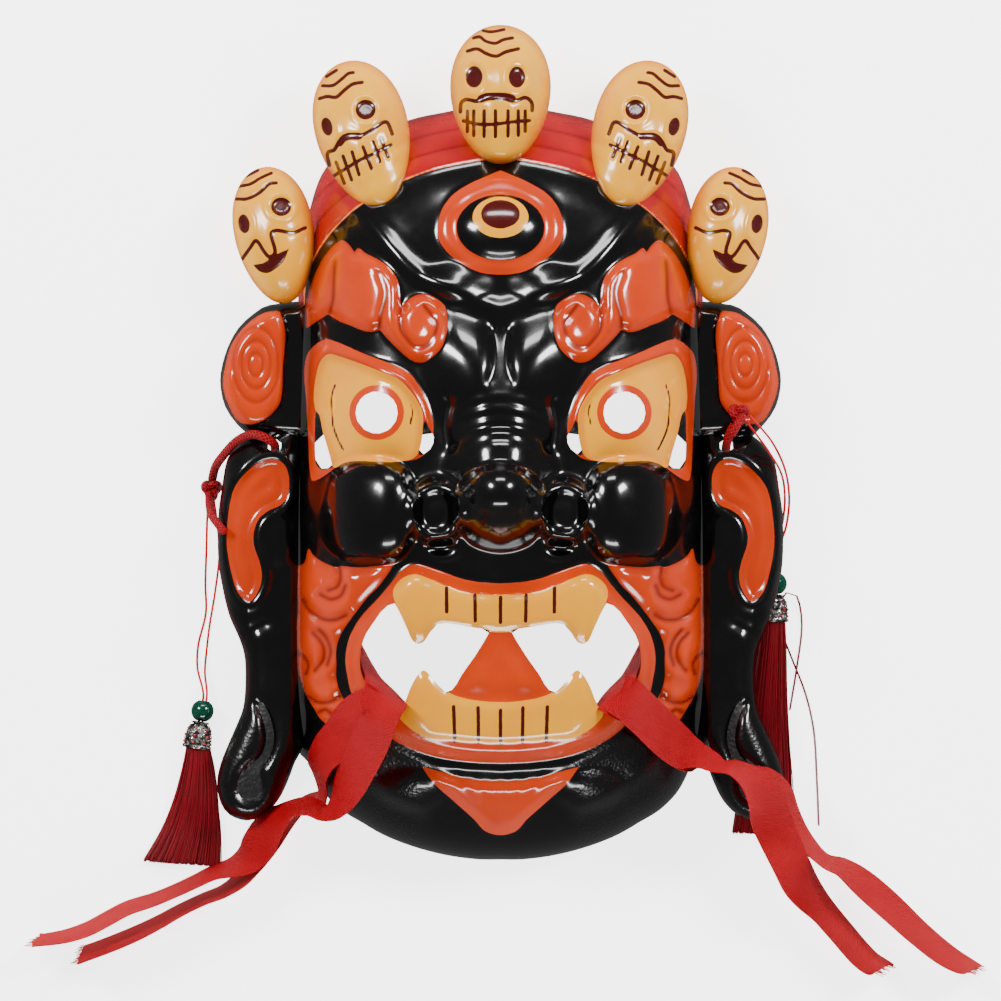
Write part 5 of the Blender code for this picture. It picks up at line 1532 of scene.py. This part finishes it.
def make_ribbon(side, ground):
    """One ribbon as one woven strip, with loose threads at its cut ends."""
    places, widths = ribbon_course(side, ground)
    runs, along = directions(places), distances(places)
    verts, uvs = ribbon_surface(places, runs, widths, along)
    ribbon = make_mesh(f"ribbon_{side}_cloth", verts, ribbon_faces(len(places)), RIBBON_CLOTH, sharp=70)
    layer = ribbon.data.uv_layers.new(name="weave")
    index = np.zeros(len(ribbon.data.loops), np.int32)
    ribbon.data.loops.foreach_get("vertex_index", index)
    layer.data.foreach_set("uv", np.array(uvs, np.float32)[index].ravel())
    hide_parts(f"ribbon_{side}")
    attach(ribbon, "root")
    fray = frayed_ends(side, [(places[0], runs[0] * -1, widths[0]), (places[-1], runs[-1], widths[-1])])
    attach(fray, "root")


def frayed_ends(side, ends):
    """Loose threads of the weave at both cut ends."""
    rng = np.random.default_rng(3 if side == "left" else 4)
    strands = []
    for place, run, across in ends:
        for share in rng.uniform(-0.5, 0.5, FRAY_THREADS):
            reach = min(rng.gamma(2.0, 0.8), FRAY_REACH)
            bend = rng.normal(0, 0.5)
            start = place + across * share * RIBBON_WIDTH - run * (1.5 + (0.5 - share) * CUT_SLANT)
            points = []
            for t in np.linspace(0, 1, 5):
                point = start + run * (1.5 + reach * t) + across * bend * t * t
                point[2] = max(LOWEST_STRAND, point[2] * (1 - 0.5 * t))
                points.append(point)
            strands.append(points)
    return bundle(f"ribbon_{side}_fray", strands, rng.uniform(0, 1, len(strands)), 0.16, THREAD)


GROUND = lie_of_the_land()
for side in ("left", "right"):
    make_ribbon(side, GROUND)


# Beads, caps and tassels
BEAD_PROFILE = [(BEAD_RADIUS * math.sin(t), BEAD_RADIUS * math.cos(t)) for t in np.linspace(-1.12, 1.12, 22)]
BEAD_PROFILE += [(BEAD_RADIUS * math.sin(1.12) - 0.5, 2.0), (-BEAD_RADIUS * math.sin(1.12) + 0.5, 2.0)]
# Round the cap's wall, outside and then inside: how far along it, and how far out
CAP_PROFILE = [
    (0, 2.9), (0.5, 3.5), (1.1, 3.0), (1.6, 3.9), (2.6, 4.7), (4.2, 5.35), (6.5, 5.7), (9.0, 5.85),
    (10.2, 5.8), (10.5, 6.15), (11.6, 6.2), (12.0, 5.95), (12.0, 5.3), (8.5, 4.95), (4.8, 4.5), (2.2, 3.2),
    (0.9, 2.0), (0, 2.0),
]
# Rows of grains on the cap: how far along, how far out, size, count, and 1 where some are enamelled
CAP_GRAINS = [
    (2.0, 4.35, 0.42, 14, 0), (3.4, 5.15, 0.60, 12, 1), (4.9, 5.6, 0.42, 20, 0), (6.4, 5.85, 0.72, 12, 1),
    (7.9, 6.0, 0.42, 22, 0), (9.4, 6.0, 0.62, 14, 1), (11.1, 6.25, 0.45, 30, 0), (0.5, 3.5, 0.45, 14, 0),
]


def frame_of(heading):
    """The two directions square to a heading, the first of them level."""
    side = np.cross(heading, (0, 0, 1))
    side /= np.linalg.norm(side)
    return side, np.cross(side, heading)


def turned(name, profile, start, heading, material, sides, wave=None):
    """A closed profile of (along, radius) turned about an axis, with a petal wave if given."""
    side, up = frame_of(heading)
    verts = []
    for along, radius in profile:
        for k in range(sides):
            angle = math.tau * k / sides
            r = radius * (1 + (wave(along, angle) if wave else 0))
            verts.append(start + along * heading + r * math.cos(angle) * side + r * math.sin(angle) * up)
    faces = []
    for j in range(len(profile)):
        row, following = j * sides, (j + 1) % len(profile) * sides
        for k in range(sides):
            n = (k + 1) % sides
            faces.append((row + k, row + n, following + n, following + k))
    return make_mesh(name, verts, faces, material, sharp=50)


def petals(along, angle):
    """The fluting of the cap, faint at its two ends."""
    return 0.045 * math.cos(8 * angle + along * 0.5) * (1 if 1.5 < along < 10 else 0.2)


def make_tassel_set(side):
    bead_middle, heading = tassel_axis(side)
    bead = turned(f"bead_{side}_stone", BEAD_PROFILE, bead_middle, heading, BEAD_STONE, 48)
    cap_start = bead_middle + heading * (BEAD_RADIUS * math.sin(1.1) + 0.3)
    cap_start[2] = CAP_RADIUS + 0.3
    cap = turned(f"cap_{side}_silver", CAP_PROFILE, cap_start, heading, SILVER, 64, petals)
    drops = cap_drops(side, cap_start, heading)
    strands, tones = tassel_strands(side, cap_start[2])
    tassel = bundle(f"tassel_{side}_silk", strands, tones, 0.26, SILK)
    for piece, name, slot in ((bead, f"bead_{side}", "bead"), (cap, f"cap_{side}", "silver_cap"),
                              (tassel, f"tassel_{side}", "tassel"), (drops, None, "silver_cap")):
        if name:
            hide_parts(name)
        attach(piece, "root")


def cap_drops(side, start, heading):
    """Silver grains and red enamel drops in rows round the cap."""
    side_way, up = frame_of(heading)
    ball = bpy.data.meshes.new("grain")
    work = bmesh.new()
    bmesh.ops.create_icosphere(work, subdivisions=2, radius=1.0)
    work.to_mesh(ball)
    work.free()
    shape = np.array([v.co for v in ball.vertices])
    facets = [tuple(p.vertices) for p in ball.polygons]
    bpy.data.meshes.remove(ball)
    verts, faces, index = [], [], []
    for along, radius, size, count, kind in CAP_GRAINS:
        for k in range(count):
            angle = math.tau * (k + 0.5 * (kind + (count % 3) * 0.3)) / count
            out = math.cos(angle) * side_way + math.sin(angle) * up
            middle = start + along * heading + radius * 0.985 * out
            first = len(verts)
            verts += list(middle + shape * size)
            faces += [tuple(first + v for v in facet) for facet in facets]
            index += [1 if kind == 1 and k % 2 == 0 else 0] * len(facets)
    verts = np.array(verts)
    verts[:, 2] = np.maximum(verts[:, 2], 0.1)
    drops = make_mesh(f"cap_{side}_grains", verts, faces, [SILVER, ENAMEL_DROPS])
    drops.data.polygons.foreach_set("material_index", np.array(index, np.int32))
    return drops


def point_along(line, share):
    """The point at a share of a line's points, between the two nearest."""
    last = len(line) - 1
    first = min(last, int(share * last))
    return line[first] + (share * last % 1) * (line[min(last, first + 1)] - line[first])


def tassel_strands(side, cap_height):
    """Paths of the silk strands: tight in the cap, spread over the floor, ragged at the end."""
    rng = np.random.default_rng(7 if side == "left" else 11)
    edges = [smooth_curve(line, 4.0) for line in TASSEL_EDGES[side]]
    strands = []
    for _ in range(TASSEL_STRANDS):
        turn = rng.uniform(0, math.tau)
        deep = math.sqrt(rng.uniform(0.02, 1))
        out, high = math.cos(turn) * deep, math.sin(turn) * deep
        stop = 1 - abs(rng.normal(0, 0.016)) - 0.05 * rng.uniform() ** 5
        bow, drift = rng.normal(0, 0.35), rng.normal(0, 0.012)
        points = []
        for t in np.linspace(0, stop, 13):
            left, right = [point_along(edge, t) for edge in edges]
            spot = left + (right - left) * (0.5 + 0.49 * out + drift * t)
            thick = 4.6 - 2.6 * ease(t * 1.4)
            level = cap_height + (thick + 0.3 - cap_height) * ease(t / 0.55)
            points.append((spot[0] + bow * math.sin(t * 5), spot[1], max(LOWEST_STRAND, level + high * thick)))
        strands.append(points)
    if side == "right":
        for line in STRAY_STRANDS:
            strands += [[(x + shift, y, z) for x, y, z in smooth_curve(line, 4.0)] for shift in (0, 0.5)]
    return strands, rng.uniform(0, 1, len(strands))


for side in ("left", "right"):
    make_tassel_set(side)


# Studio: a pale floor that gives off light, and soft windows round the mask
LAMPS = [
    ("window_left", (-1.2, 0.75, 1.25), (0.38, 0.55), 36.0),
    ("window_right", (1.2, 0.75, 1.25), (0.38, 0.55), 36.0),
    ("top", (0, 1.5, 1.0), (0.9, 0.25), 14.0),
    ("low", (0, -1.6, 0.9), (1.3, 0.25), 20.0),
]
FLOOR_REACH = 3000
FLOOR_GLOW = 3.4
SKY_GLOW = 0.12


def floor_material():
    material, tree, bsdf = new_material("pale floor")
    finish_surface(tree, bsdf, (0.93, 0.93, 0.93, 1), 0.9,
                   {"Emission Color": (1, 1, 1, 1), "Emission Strength": FLOOR_GLOW})
    return material


def make_studio():
    corners = [(x * FLOOR_REACH, y * FLOOR_REACH, 0) for x, y in ((-1, -1), (1, -1), (1, 1), (-1, 1))]
    floor = make_mesh("floor", corners, [(0, 1, 2, 3)], floor_material(), smooth=False)
    floor.visible_glossy = False
    world = bpy.data.worlds.new("studio")
    bpy.context.scene.world = world
    world.use_nodes = True
    sky = world.node_tree.nodes["Background"].inputs
    sky["Color"].default_value = (1, 1, 1, 1)
    sky["Strength"].default_value = SKY_GLOW
    for name, place, size, power in LAMPS:
        light = bpy.data.lights.new(name, "AREA")
        light.shape = "RECTANGLE"
        light.size, light.size_y = size
        light.energy = power
        lamp = bpy.data.objects.new(name, light)
        bpy.context.scene.collection.objects.link(lamp)
        lamp.location = place
        way = Vector((-place[0], -place[1], FOCUS_HEIGHT - place[2]))
        lamp.rotation_euler = way.to_track_quat("-Z", "Y").to_euler()


make_studio()
